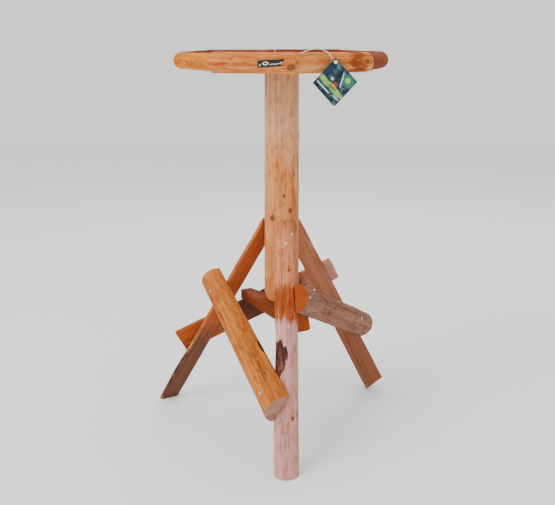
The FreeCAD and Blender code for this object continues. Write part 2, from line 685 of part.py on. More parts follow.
def make_staple():
    """Round-topped wire staple that stands over the cord's first run."""
    arch = doc.addObject("Part::Torus", "staple_arch")
    bind(arch, Radius1="staple_radius", Radius2="dims.staple_wire / 2")
    arch.Angle3 = 180
    arch.Placement.Rotation = FreeCAD.Rotation(X_AXIS, 90)
    legs = []
    for side in (-1, 1):
        leg = doc.addObject("Part::Cylinder", "staple_leg")
        bind(leg, Radius="dims.staple_wire / 2", Height="staple_leg")
        leg.Placement.Base = FreeCAD.Vector(side * dim("staple_radius"), 0, -dim("staple_leg"))
        legs.append(leg)
    staple = doc.addObject("Part::MultiFuse", "staple")
    staple.Shapes = [arch] + legs
    along, out, height = CORD_ROUTE[0]
    point = rim_point(TAG_LOG_AZIMUTH, along + 3, out + 0.7, dim("staple_arch_height"))
    keep(staple, "tag_staple", facing(point, toward(TAG_LOG_AZIMUTH), Z_AXIS))


# ------------------------------------------------------------------ the whole
make_pole()
front = Leg("front")
left = Leg("left")
right = Leg("right")
front.build(square_foot=False, coped=True)
left.build(square_foot=False, coped=False)
right.build(square_foot=True, coped=False)
brace_front_left = Brace("front_left", left, front)
brace_front_right = Brace("front_right", front, right)
brace_rear = Brace("rear", right, left)
for brace in (brace_front_left, brace_front_right, brace_rear):
    brace.build()
make_tie(brace_front_right)

wood_screws("leg_front_screws", "leg_screw", [front.surface(602, 31), front.surface(576, 0)])
wood_screws("leg_left_screws", "leg_screw", [left.driven(620, -5), left.driven(595, -20)])
wood_screws("leg_right_screws", "leg_screw", [right.driven(612, 25), right.driven(585, 32)])
brace_places = []
for brace, low_inset in ((brace_front_left, 14), (brace_front_right, 0), (brace_rear, 0)):
    brace_places.append(brace.screw(brace.high))
    brace_places.append(brace.screw(brace.low, low_inset))
wood_screws("brace_screws", "brace_screw", brace_places)

make_rim()
make_floor()
make_label()
make_nail()
make_tag()
make_fastener()
make_cord()
make_staple()

doc.recompute()
failed = [item.Name for item in doc.Objects if {"Invalid", "Error"} & set(item.State)]
if failed:
    raise RuntimeError("failed features: %s" % failed)
for node in nodes:
    if node.Shape.isNull() or not node.Shape.isValid() or not node.Shape.Solids:
        raise RuntimeError("bad shape: %s" % node.Label)

os.makedirs("parts", exist_ok=True)
for node in nodes:
    node.Shape.exportStep(os.path.join("parts", node.Label + ".step"))

everything = Part.makeCompound([node.Shape for node in nodes])
box = everything.optimalBoundingBox()
print("%d nodes" % len(nodes))
print("X %.1f to %.1f, Y %.1f to %.1f" % (box.XMin, box.XMax, box.YMin, box.YMax))
print("Z %.1f to %.1f" % (box.ZMin, box.ZMax))
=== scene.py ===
"""Visual model of a rustic log bird table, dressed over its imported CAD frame.

Half-round logs, sawn boards, wood screws, a label plate and a card tag on a loop cord are modelled in
the CAD's own frame: metres, +Z up, the ground at Z = 0.
"""

import logging
import math
from dataclasses import dataclass, field
from enum import Enum
from typing import Callable, Sequence

import bmesh
import bpy
import numpy
from mathutils import Matrix, Vector


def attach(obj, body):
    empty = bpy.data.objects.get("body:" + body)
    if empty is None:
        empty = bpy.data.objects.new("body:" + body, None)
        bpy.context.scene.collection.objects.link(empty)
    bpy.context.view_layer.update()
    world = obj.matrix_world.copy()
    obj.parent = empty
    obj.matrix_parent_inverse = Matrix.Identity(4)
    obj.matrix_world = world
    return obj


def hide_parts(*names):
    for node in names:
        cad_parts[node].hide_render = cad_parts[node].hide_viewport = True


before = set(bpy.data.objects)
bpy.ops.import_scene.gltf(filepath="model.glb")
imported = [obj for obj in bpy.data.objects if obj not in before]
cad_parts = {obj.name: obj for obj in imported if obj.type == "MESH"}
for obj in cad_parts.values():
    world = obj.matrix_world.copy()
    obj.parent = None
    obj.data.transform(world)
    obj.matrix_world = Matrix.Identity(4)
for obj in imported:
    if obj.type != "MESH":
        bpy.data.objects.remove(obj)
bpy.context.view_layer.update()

log = logging.getLogger("bird_table")

Colour = tuple[float, float, float]
DRY_WOOD_SHINE = 0.08
PRINT_SHINE = 0.2
DECK_TONES: dict[str, Colour] = {"dark": (0.3, 0.13, 0.06), "middle": (0.45, 0.24, 0.12),
                                 "light": (0.55, 0.34, 0.2), "tint": (0.5, 0.3, 0.2)}
UP = Vector((0.0, 0.0, 1.0))


# ------------------------------------------------------------------ camera, light and floor
@dataclass
class Studio:
    """Camera in front of the table, a pale floor and plain soft light.

    Attributes:
        eye: Place of the camera.
        pitch: Degrees that it looks down.
        lens: Focal length in millimetres, on a sensor 36 mm wide.
        floor_side: Side of the floor.
    """

    eye: tuple[float, float, float] = (0.0139, -2.3938, 1.0411)
    pitch: float = 13.1
    lens: float = 61.1
    floor_side: float = 14.0

    def build(self) -> None:
        """Make the camera, the floor and the lamps."""
        data = bpy.data.cameras.new("studio_camera")
        data.lens = self.lens
        data.sensor_width = 36.0
        camera = bpy.data.objects.new("studio_camera", data)
        camera.location = self.eye
        camera.rotation_euler = (math.radians(90 - self.pitch), 0.0, 0.0)
        bpy.context.scene.collection.objects.link(camera)
        bpy.context.scene.camera = camera
        self.lay_floor()
        self.hang_lamp("key_lamp", (-2.5, -2.1, 2.7), 2.2, 112.0)
        self.hang_lamp("fill_lamp", (2.6, -2.2, 1.7), 2.6, 5.0)
        self.hang_lamp("back_lamp", (0.6, 2.8, 2.8), 2.4, 40.0)
        world = bpy.data.worlds.new("studio_world")
        world.use_nodes = True
        world.node_tree.nodes["Background"].inputs["Color"].default_value = (1.0, 1.0, 1.0, 1.0)
        world.node_tree.nodes["Background"].inputs["Strength"].default_value = 1.15
        bpy.context.scene.world = world

    def lay_floor(self) -> None:
        """Pale floor under the table."""
        bpy.ops.object.select_all(action="DESELECT")
        bpy.ops.mesh.primitive_plane_add(size=self.floor_side, location=(0.0, 0.0, -0.0005))
        floor = bpy.context.active_object
        floor.name = "studio_floor"
        paint = Shading("pale_floor")
        paint.shader.inputs["Base Color"].default_value = (0.93, 0.93, 0.93, 1.0)
        paint.shader.inputs["Roughness"].default_value = 0.9
        floor.data.materials.append(paint.material)

    def hang_lamp(self, name: str, place: Sequence[float], side: float, watts: float) -> None:
        """Hang one soft square lamp that looks at the middle of the table.

        Args:
            name: Name of the lamp.
            place: Where it hangs.
            side: Side of its square.
            watts: Its power.
        """
        data = bpy.data.lights.new(name, "AREA")
        data.size = side
        data.energy = watts
        lamp = bpy.data.objects.new(name, data)
        lamp.location = place
        aim = Vector((0.0, 0.0, 0.55)) - Vector(place)
        lamp.rotation_euler = aim.to_track_quat("-Z", "Y").to_euler()
        bpy.context.scene.collection.objects.link(lamp)


# ------------------------------------------------------------------ loop cord
@dataclass
class LoopCord:
    """Plastic loop cord from the staple on the rim, over the rim's edge, to the tag's fastener.

    Attributes:
        route: Points of its line, from the staple to the fastener's ball.
        length: Real length.
        diameter: Real diameter.
    """

    route: tuple[tuple[float, float, float], ...] = (
        (0.0664, -0.2062, 0.9970),
        (0.0826, -0.2030, 1.0043),
        (0.1049, -0.1979, 1.0073),
        (0.1231, -0.1937, 1.0034),
        (0.1335, -0.1915, 0.9946),
        (0.1388, -0.1906, 0.9856),
        (0.1433, -0.1891, 0.9797),
    )
    length: float = 0.0914
    diameter: float = 0.0018

    def build(self, on_it: Sequence[bpy.types.Object]) -> bpy.types.Object:
        """Make the cord.

        Args:
            on_it: The pieces that hang on the cord; not used.

        Returns:
            The cord's curve.
        """
        curve = bpy.data.curves.new("loop_cord", "CURVE")
        curve.dimensions = "3D"
        curve.bevel_depth = self.diameter / 2
        curve.bevel_resolution = 5
        curve.resolution_u = 24
        curve.use_fill_caps = True
        line = curve.splines.new("NURBS")
        line.points.add(len(self.route) - 1)
        for point, place in zip(line.points, self.route):
            point.co = (*place, 1.0)
        line.order_u = 3
        line.use_endpoint_u = True
        cord = bpy.data.objects.new("loop_cord", curve)
        bpy.context.scene.collection.objects.link(cord)
        curve.materials.append(Plastic("cord_plastic", (0.78, 0.74, 0.70), 0.32, 0.25).material())
        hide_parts("tag_cord")
        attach(cord, "table")
        return cord


# ------------------------------------------------------------------ shading
class Shading:
    """A material under construction, with short words for its nodes."""

    def __init__(self, name: str) -> None:
        """Start a material.

        Args:
            name: Name of the material.
        """
        self.material = bpy.data.materials.new(name)
        self.material.use_nodes = True
        self.tree = self.material.node_tree
        self.shader = self.tree.nodes["Principled BSDF"]

    def node(self, kind: str, **settings: object) -> bpy.types.Node:
        """Add a node.

        Args:
            kind: The node's type.
            **settings: Its own properties.

        Returns:
            The new node.
        """
        made = self.tree.nodes.new(kind)
        for name, value in settings.items():
            setattr(made, name, value)
        return made

    def join(self, source: bpy.types.NodeSocket, target: bpy.types.NodeSocket) -> None:
        """Link two sockets."""
        self.tree.links.new(source, target)

    def sums(self, operation: str, *values: object, clamp: bool = False) -> bpy.types.NodeSocket:
        """Work out a number from sockets or plain numbers.

        Args:
            operation: What a Math node does with them.
            *values: One to three sockets or numbers.
            clamp: Whether the result is held between 0 and 1.

        Returns:
            The result's socket.
        """
        made = self.node("ShaderNodeMath", operation=operation, use_clamp=clamp)
        for index, value in enumerate(values):
            if isinstance(value, bpy.types.NodeSocket):
                self.join(value, made.inputs[index])
            else:
                made.inputs[index].default_value = value
        return made.outputs[0]

    def smooth(self, value: bpy.types.NodeSocket, low: float, high: float) -> bpy.types.NodeSocket:
        """Soft step that is 0 at low and 1 at high; high may be the smaller of the two."""
        made = self.node("ShaderNodeMapRange", interpolation_type="SMOOTHSTEP")
        self.join(value, made.inputs["Value"])
        if low < high:
            ends = (low, high, 0.0, 1.0)
        else:
            ends = (high, low, 1.0, 0.0)
        for name, number in zip(("From Min", "From Max", "To Min", "To Max"), ends):
            made.inputs[name].default_value = number
        return made.outputs["Result"]

    def place(self, frame_of_piece: Matrix) -> bpy.types.NodeSocket:
        """Object coordinates turned into a piece's own frame.

        Args:
            frame_of_piece: Where the piece's own origin and axes lie.

        Returns:
            The socket of the turned coordinates.
        """
        source = self.node("ShaderNodeTexCoord")
        turned = self.node("ShaderNodeMapping", vector_type="TEXTURE")
        turned.inputs["Location"].default_value = frame_of_piece.translation
        turned.inputs["Rotation"].default_value = frame_of_piece.to_euler()
        self.join(source.outputs["Object"], turned.inputs["Vector"])
        return turned.outputs["Vector"]

    def speckle(self, vector: bpy.types.NodeSocket, stretch: Sequence[float], detail: float = 3.0,
                shift: float = 0.0) -> bpy.types.NodeSocket:
        """Noise between 0 and 1, as fine along each axis as stretch says.

        Args:
            vector: Coordinates of the piece.
            stretch: Repeats per metre along the three axes.
            detail: Octaves of the noise.
            shift: Moves the pattern, so that two pieces differ.

        Returns:
            The noise's socket.
        """
        scaled = self.node("ShaderNodeVectorMath", operation="MULTIPLY_ADD")
        self.join(vector, scaled.inputs[0])
        scaled.inputs[1].default_value = stretch
        scaled.inputs[2].default_value = (shift, shift * 0.7, shift * 1.3)
        made = self.node("ShaderNodeTexNoise")
        made.inputs["Scale"].default_value = 1.0
        made.inputs["Detail"].default_value = detail
        made.inputs["Roughness"].default_value = 0.6
        self.join(scaled.outputs[0], made.inputs["Vector"])
        return made.outputs["Fac"]

    def tones(self, value: bpy.types.NodeSocket,
              stops: Sequence[tuple[float, Colour]]) -> bpy.types.NodeSocket:
        """Turn a number into a colour by a run of stops."""
        ramp = self.node("ShaderNodeValToRGB")
        cells = ramp.color_ramp.elements
        while len(cells) < len(stops):
            cells.new(0.5)
        for cell, (at, colour) in zip(cells, stops):
            cell.position = at
            cell.color = (*colour, 1.0)
        self.join(value, ramp.inputs["Fac"])
        return ramp.outputs["Color"]

    def blend(self, share: object, first: object, second: object,
              mode: str = "MIX") -> bpy.types.NodeSocket:
        """Mix two colours, each a socket or a plain colour, by a share."""
        made = self.node("ShaderNodeMix", data_type="RGBA", blend_type=mode)
        for socket, value in zip((made.inputs[0], made.inputs[6], made.inputs[7]),
                                 (share, first, second)):
            if isinstance(value, bpy.types.NodeSocket):
                self.join(value, socket)
            elif isinstance(value, tuple):
                socket.default_value = (*value, 1.0)
            else:
                socket.default_value = value
        return made.outputs[2]

    def relief(self, height: bpy.types.NodeSocket, depth: float) -> None:
        """Give the shader a bump from a height, so many metres deep."""
        bump = self.node("ShaderNodeBump")
        bump.inputs["Distance"].default_value = depth
        bump.inputs["Strength"].default_value = 1.0
        self.join(height, bump.inputs["Height"])
        self.join(bump.outputs["Normal"], self.shader.inputs["Normal"])

    def distance(self, vector: bpy.types.NodeSocket, spot: Sequence[float],
                 reach: Sequence[float]) -> bpy.types.NodeSocket:
        """Distance from a spot, counted in the spot's own reach along each axis."""
        scaled = self.node("ShaderNodeVectorMath", operation="MULTIPLY_ADD")
        self.join(vector, scaled.inputs[0])
        scaled.inputs[1].default_value = [1 / size for size in reach]
        scaled.inputs[2].default_value = [-at / size for at, size in zip(spot, reach)]
        made = self.node("ShaderNodeVectorMath", operation="LENGTH")
        self.join(scaled.outputs[0], made.inputs[0])
        return made.outputs["Value"]


@dataclass(frozen=True)
class Plastic:
    """Moulded plastic.

    Attributes:
        name: Name of the material.
        colour: Its colour.
        roughness: Its mean roughness.
        clear: How much light passes into it.
    """

    name: str
    colour: Colour
    roughness: float
    clear: float = 0.0

    def material(self) -> bpy.types.Material:
        """The plastic's material, with faint flow marks and scuffs."""
        paint = Shading(self.name)
        source = paint.node("ShaderNodeTexCoord").outputs["Object"]
        cloud = paint.speckle(source, (260, 260, 260), 3.0)
        deep = tuple(0.82 * part for part in self.colour)
        colour = paint.tones(cloud, [(0.35, deep), (0.65, self.colour)])
        paint.join(colour, paint.shader.inputs["Base Color"])
        scuff = paint.speckle(source, (900, 900, 900), 2.0, 4.0)
        rough = paint.sums("MULTIPLY_ADD", scuff, 0.3, self.roughness - 0.12)
        paint.join(rough, paint.shader.inputs["Roughness"])
        paint.relief(scuff, 0.00005)
        if self.clear:
            paint.shader.inputs["Subsurface Weight"].default_value = self.clear
            paint.shader.inputs["Subsurface Radius"].default_value = (0.002, 0.002, 0.002)
        return paint.material


@dataclass(frozen=True)
class Zinc:
    """Dull zinc-plated steel, a little rusty.

    Attributes:
        name: Name of the material.
        rust: How far the rust has spread, 0 to 1.
    """

    name: str
    rust: float = 0.2

    def material(self) -> bpy.types.Material:
        """The steel's material."""
        paint = Shading(self.name)
        source = paint.node("ShaderNodeTexCoord").outputs["Object"]
        cloud = paint.speckle(source, (420, 420, 420), 4.0)
        steel = paint.tones(cloud, [(0.3, (0.52, 0.50, 0.45)), (0.7, (0.80, 0.78, 0.72))])
        patch = paint.smooth(paint.speckle(source, (190, 190, 190), 5.0, 9.0), 0.72 - self.rust, 0.86)
        paint.join(paint.blend(patch, steel, (0.25, 0.10, 0.04)), paint.shader.inputs["Base Color"])
        paint.shader.inputs["Metallic"].default_value = 0.85
        rough = paint.sums("MULTIPLY_ADD", cloud, 0.3, 0.25)
        paint.join(rough, paint.shader.inputs["Roughness"])
        paint.relief(cloud, 0.0001)
        return paint.material


# ------------------------------------------------------------------ wood
class Cut(Enum):
    """What a saw leaves: a face along the grain, or one across it."""

    ALONG = "along"
    ACROSS = "across"


@dataclass(frozen=True)
class Knot:
    """Knot in a log's round side.

    Attributes:
        along: Place along the log from its start.
        angle: Degrees round the pith from the middle of the round side.
        size: Radius of its dark heart.
    """

    along: float
    angle: float
    size: float = 0.006


@dataclass(frozen=True)
class Bark:
    """Patch of bark left on a log.

    Attributes:
        along: Middle of the patch along the log.
        angle: Middle of the patch round the pith, in degrees.
        length: Half of its length along the log.
        width: Half of its width round the log.
        depth: How thick the bark is.
    """

    along: float
    angle: float
    length: float
    width: float
    depth: float = 0.0015


@dataclass(frozen=True)
class Wash:
    """Stretch of a log with a colour of its own. Most are real stains; the dark ones on the rear brace and at
    the front leg's head are painted shade, and the pale one high on the pole is painted light.

    Attributes:
        start: Where it begins along the log.
        end: Where it ends.
        colour: Its colour.
        strength: How far it covers the wood, 0 to 1.
        soft: How gently it begins and ends.
    """

    start: float
    end: float
    colour: Colour
    strength: float
    soft: float = 0.03


@dataclass(frozen=True)
class Timber:
    """Finish of one log: its peeled side, its sawn faces and its end grain.

    Attributes:
        name: Name of the finish.
        dark: Darker streaks of the peeled side.
        middle: Its usual colour.
        light: Paler streaks.
        tint: Colour of wide weathered patches.
        tinted: How much of the side the tint covers, 0 to 1.
        sawn: Dark and light colour of a face sawn along the grain.
        end: Dark and light colour of the end grain.
        seed: Moves the pattern.
        washes: Colour washes along the log: real stains, and on a few logs painted shade and painted light.
    """

    name: str
    dark: Colour
    middle: Colour
    light: Colour
    tint: Colour
    tinted: float = 0.35
    sawn: tuple[Colour, Colour] = ((0.30, 0.11, 0.05), (0.47, 0.21, 0.11))
    end: tuple[Colour, Colour] = ((0.36, 0.15, 0.06), (0.60, 0.32, 0.16))
    seed: float = 0.0
    washes: tuple[Wash, ...] = ()

    def colour_wash(self, paint: Shading, at: bpy.types.NodeSocket,
              colour: bpy.types.NodeSocket) -> bpy.types.NodeSocket:
        """Lay the washes (real stains, and on a few logs painted shade and painted light) over a colour,
        keeping its light and dark.
        """
        if not self.washes:
            return colour
        parts = paint.node("ShaderNodeSeparateXYZ")
        paint.join(at, parts.inputs[0])
        drift = paint.speckle(at, (60, 60, 14), 4.0, self.seed + 30)
        along = paint.sums("MULTIPLY_ADD", paint.sums("SUBTRACT", drift, 0.5), 0.07, parts.outputs[2])
        grain = paint.speckle(at, (110, 110, 4), 4.0, self.seed + 17)
        for wash in self.washes:
            mask = paint.sums("MULTIPLY", paint.smooth(along, wash.start - wash.soft, wash.start),
                              paint.smooth(along, wash.end + wash.soft, wash.end))
            deep = tuple(0.72 * part for part in wash.colour)
            pale = tuple(min(1.0, 1.16 * part) for part in wash.colour)
            tone = paint.tones(grain, [(0.32, deep), (0.66, pale)])
            colour = paint.blend(paint.sums("MULTIPLY", mask, wash.strength), colour, tone)
        return colour

    def mottle(self, paint: Shading, at: bpy.types.NodeSocket,
               colour: bpy.types.NodeSocket) -> bpy.types.NodeSocket:
        """Short dark and pale patches where the bark was torn off."""
        torn = paint.speckle(at, (85, 85, 34), 5.0, self.seed + 40)
        deep = paint.tones(torn, [(0.36, (0.68, 0.50, 0.38)), (0.50, (1.0, 1.0, 1.0))])
        colour = paint.blend(0.7, colour, deep, "MULTIPLY")
        fleck = paint.speckle(at, (150, 150, 30), 4.0, self.seed + 51)
        pale = tuple(min(0.9, 1.15 * part + 0.02) for part in self.light)
        return paint.blend(paint.sums("MULTIPLY", paint.smooth(fleck, 0.57, 0.66), 0.38), colour, pale)

    def peeled(self, place: Matrix, radius: float, knots: Sequence[Knot],
               barks: Sequence[Bark]) -> bpy.types.Material:
        """Material of the round side.

        Args:
            place: The log's own frame, its grain along Z.
            radius: Its mean radius.
            knots: Knots in it.
            barks: Patches of bark on it.

        Returns:
            The material.
        """
        paint = Shading(self.name + "_peeled")
        at = paint.place(place)
        streak = paint.speckle(at, (70, 70, 3.2), 5.0, self.seed)
        colour = paint.tones(streak, [(0.32, self.dark), (0.5, self.middle), (0.68, self.light)])
        patch = paint.speckle(at, (16, 16, 5.0), 4.0, self.seed + 3)
        edge = 0.66 - 0.3 * self.tinted
        colour = paint.blend(paint.smooth(patch, edge, edge + 0.16), colour, self.tint)
        colour_wash = paint.smooth(paint.speckle(at, (9, 9, 2.2), 5.0, self.seed + 11), 0.52, 0.72)
        colour = paint.blend(paint.sums("MULTIPLY", colour_wash, 0.35), colour, self.dark)
        colour = self.colour_wash(paint, at, colour)
        colour = self.mottle(paint, at, colour)
        fibre = paint.speckle(at, (420, 420, 12), 3.0, self.seed + 5)
        colour = paint.blend(0.55, colour, paint.tones(fibre, [(0.3, (0.62, 0.58, 0.55)), (0.62, (1, 1, 1))]),
                             "MULTIPLY")
        check = paint.speckle(at, (95, 95, 2.4), 2.0, self.seed + 8)
        crack = paint.smooth(paint.sums("ABSOLUTE", paint.sums("SUBTRACT", check, 0.5)), 0.012, 0.002)
        wide = paint.smooth(paint.speckle(at, (12, 12, 4), 2.0, self.seed + 21), 0.52, 0.60)
        crack = paint.sums("MULTIPLY", crack, wide)
        colour = paint.blend(paint.sums("MULTIPLY", crack, 0.7), colour, (0.06, 0.025, 0.012))
        height = paint.sums("MULTIPLY_ADD", fibre, 0.35, paint.sums("MULTIPLY", streak, 0.6))
        height = paint.sums("SUBTRACT", height, paint.sums("MULTIPLY", crack, 0.9))
        rough = paint.sums("MULTIPLY_ADD", fibre, 0.25, 0.60)
        for number, knot in enumerate(knots):
            spot = self.spot(radius, knot)
            size = (knot.size, knot.size, knot.size * 1.3)
            away = paint.distance(at, spot, size)
            wander = paint.speckle(at, (160, 160, 160), 2.0, number)
            away = paint.sums("ADD", away, paint.sums("MULTIPLY", paint.sums("SUBTRACT", wander, 0.5), 0.9))
            halo = paint.smooth(away, 2.6, 0.9)
            colour = paint.blend(paint.sums("MULTIPLY", halo, 0.55), colour, self.dark)
            heart = paint.smooth(away, 1.05, 0.75)
            ring = paint.sums("SINE", paint.sums("MULTIPLY", away, 14.0))
            core = paint.tones(paint.sums("MULTIPLY_ADD", ring, 0.5, 0.5),
                               [(0.1, (0.10, 0.035, 0.014)), (0.9, (0.23, 0.085, 0.03))])
            colour = paint.blend(heart, colour, core)
            height = paint.sums("ADD", height, paint.sums("MULTIPLY", ring,
                                                          paint.sums("MULTIPLY", heart, 0.3)))
        for patch_of_bark in barks:
            mask = self.bark_mask(paint, at, radius, patch_of_bark)
            crust = paint.speckle(at, (130, 130, 45), 6.0, self.seed + 2)
            scales = paint.tones(crust, [(0.30, (0.020, 0.008, 0.007)), (0.5, (0.075, 0.024, 0.018)),
                                         (0.66, (0.20, 0.075, 0.05))])
            colour = paint.blend(mask, colour, scales)
            height = paint.sums("ADD", height, paint.sums("MULTIPLY", mask,
                                                          paint.sums("MULTIPLY", crust, 2.5)))
            rough = paint.sums("ADD", rough, paint.sums("MULTIPLY", mask, 0.2), clamp=True)
        paint.join(colour, paint.shader.inputs["Base Color"])
        paint.join(rough, paint.shader.inputs["Roughness"])
        paint.shader.inputs["Specular IOR Level"].default_value = DRY_WOOD_SHINE
        paint.relief(height, 0.0009)
        return paint.material

    @staticmethod
    def spot(radius: float, knot: Knot) -> tuple[float, float, float]:
        """Place of a knot on the round side, in the log's own frame."""
        turn = math.radians(knot.angle)
        return (radius * math.cos(turn), radius * math.sin(turn), knot.along)

    @staticmethod
    def bark_mask(paint: Shading, at: bpy.types.NodeSocket, radius: float,
                  patch: Bark) -> bpy.types.NodeSocket:
        """Share of bark over the log: 1 inside a patch with a torn edge."""
        turn = math.radians(patch.angle)
        spot = (radius * math.cos(turn), radius * math.sin(turn), patch.along)
        away = paint.distance(at, spot, (patch.width, patch.width, patch.length))
        torn = paint.speckle(at, (75, 75, 22), 5.0, patch.along * 9)
        away = paint.sums("ADD", away, paint.sums("MULTIPLY", paint.sums("SUBTRACT", torn, 0.5), 1.5))
        return paint.smooth(away, 1.06, 0.92)

    def sawn_face(self, place: Matrix) -> bpy.types.Material:
        """Material of a face sawn along the grain.

        Args:
            place: The piece's own frame, its grain along Z.

        Returns:
            The material.
        """
        paint = Shading(self.name + "_sawn")
        at = paint.place(place)
        dark, light = self.sawn
        grain = paint.speckle(at, (95, 95, 3.0), 5.0, self.seed + 6)
        colour = paint.tones(grain, [(0.3, dark), (0.66, light)])
        cloud = paint.speckle(at, (22, 22, 9), 4.0, self.seed + 14)
        pale = tuple(min(1.0, part * 1.25 + 0.03) for part in light)
        colour = paint.blend(paint.smooth(cloud, 0.52, 0.75), colour, pale)
        colour = paint.blend(paint.sums("MULTIPLY", paint.smooth(cloud, 0.46, 0.28), 0.6), colour,
                             tuple(0.6 * part for part in dark))
        colour = self.colour_wash(paint, at, colour)
        teeth = paint.speckle(at, (14, 14, 520), 2.0, self.seed)
        colour = paint.blend(0.45, colour, paint.tones(teeth, [(0.3, (0.66, 0.62, 0.6)), (0.6, (1, 1, 1))]),
                             "MULTIPLY")
        paint.join(colour, paint.shader.inputs["Base Color"])
        rough = paint.sums("MULTIPLY_ADD", teeth, 0.2, 0.66)
        paint.shader.inputs["Specular IOR Level"].default_value = DRY_WOOD_SHINE
        paint.join(rough, paint.shader.inputs["Roughness"])
        paint.relief(paint.sums("ADD", teeth, paint.sums("MULTIPLY", grain, 0.8)), 0.0005)
        return paint.material

    def end_grain(self, place: Matrix) -> bpy.types.Material:
        """Material of a face sawn across the grain, with year rings round the pith.

        Args:
            place: The piece's own frame, its pith along Z.

        Returns:
            The material.
        """
        paint = Shading(self.name + "_end")
        at = paint.place(place)
        dark, light = self.end
        away = paint.distance(at, (0.0, 0.0, 0.0), (1.0, 1.0, 1e6))
        wobble = paint.speckle(at, (38, 38, 10), 3.0, self.seed)
        rings = paint.sums("SINE", paint.sums("ADD", paint.sums("MULTIPLY", away, 2200.0),
                                               paint.sums("MULTIPLY", wobble, 14.0)))
        share = paint.sums("MULTIPLY_ADD", rings, 0.3, paint.sums("MULTIPLY", wobble, 1.0))
        colour = paint.tones(share, [(0.2, dark), (0.75, light)])
        fuzz = paint.speckle(at, (330, 330, 330), 4.0, self.seed)
        colour = paint.blend(0.5, colour, paint.tones(fuzz, [(0.3, (0.6, 0.56, 0.52)), (0.62, (1, 1, 1))]),
                             "MULTIPLY")
        paint.join(colour, paint.shader.inputs["Base Color"])
        paint.shader.inputs["Roughness"].default_value = 0.86
        paint.shader.inputs["Specular IOR Level"].default_value = DRY_WOOD_SHINE
        paint.relief(paint.sums("ADD", fuzz, paint.sums("MULTIPLY", rings, 0.25)), 0.0006)
        return paint.material


# ------------------------------------------------------------------ bench work
class Bench:
    """Operator work that the pieces share."""

    @staticmethod
    def alone(piece: bpy.types.Object) -> None:
        """Select one piece and nothing else."""
        bpy.ops.object.select_all(action="DESELECT")
        piece.select_set(True)
        bpy.context.view_layer.objects.active = piece

    @staticmethod
    def take(name: str) -> bpy.types.Object:
        """Name the primitive that was just added and return it."""
        piece = bpy.context.active_object
        piece.name = name
        piece.data.name = name
        return piece

    @staticmethod
    def settle(piece: bpy.types.Object) -> None:
        """Put a piece's place, turn and size into its mesh."""
        Bench.alone(piece)
        bpy.ops.object.transform_apply(location=True, rotation=True, scale=True)

    @staticmethod
    def pick(piece: bpy.types.Object, kind: str, test: Callable[[object], bool]) -> None:
        """In edit mode, select the faces or edges that pass a test.

        Args:
            piece: The piece in edit mode.
            kind: "FACE" or "EDGE".
            test: Given a face or an edge, whether it is wanted.
        """
        bpy.ops.mesh.select_mode(type=kind)
        bpy.ops.mesh.select_all(action="DESELECT")
        sheet = bmesh.from_edit_mesh(piece.data)
        for part in sheet.faces if kind == "FACE" else sheet.edges:
            if test(part):
                part.select = True
        sheet.select_flush_mode()
        bmesh.update_edit_mesh(piece.data)

    @staticmethod
    def saw(piece: bpy.types.Object, point: Vector, waste: Vector) -> None:
        """Saw off all of a piece past a plane, and close the cut.

        Args:
            piece: The piece, with its place in its mesh.
            point: A point of the plane.
            waste: The way to the part that falls off.
        """
        Bench.alone(piece)
        bpy.ops.object.mode_set(mode="EDIT")
        bpy.ops.mesh.select_all(action="SELECT")
        bpy.ops.mesh.bisect(plane_co=point, plane_no=waste, use_fill=True, clear_outer=True,
                            clear_inner=False, threshold=0.00001)
        bpy.ops.object.mode_set(mode="OBJECT")

    @staticmethod
    def finish(piece: bpy.types.Object, kind: str, **settings: object) -> None:
        """Add a modifier and apply it."""
        Bench.alone(piece)
        made = piece.modifiers.new(kind.lower(), kind)
        for name, value in settings.items():
            setattr(made, name, value)
        bpy.ops.object.modifier_apply(modifier=made.name)

    @staticmethod
    def soften(piece: bpy.types.Object, width: float, angle: float = 50.0) -> None:
        """Round the arrises a little and shade the rest smooth."""
        Bench.finish(piece, "BEVEL", width=width, segments=2, limit_method="ANGLE",
                     angle_limit=math.radians(angle), use_clamp_overlap=True)
        Bench.alone(piece)
        bpy.ops.object.shade_smooth_by_angle(angle=math.radians(38))

    @staticmethod
    def hand_over(piece: bpy.types.Object, node: str, body: str, slot: str) -> bpy.types.Object:
        """Let a piece stand for a CAD node on a body."""
        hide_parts(node)
        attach(piece, body)
        log.info("%s: %d faces", piece.name, len(piece.data.polygons))
        return piece


def cloud_of(name: str, size: float) -> bpy.types.Texture:
    """Soft noise for a Displace modifier, one for each size."""
    found = bpy.data.textures.get(name)
    if found is None:
        found = bpy.data.textures.new(name, "CLOUDS")
        found.noise_scale = size
        found.noise_depth = 2
    return found


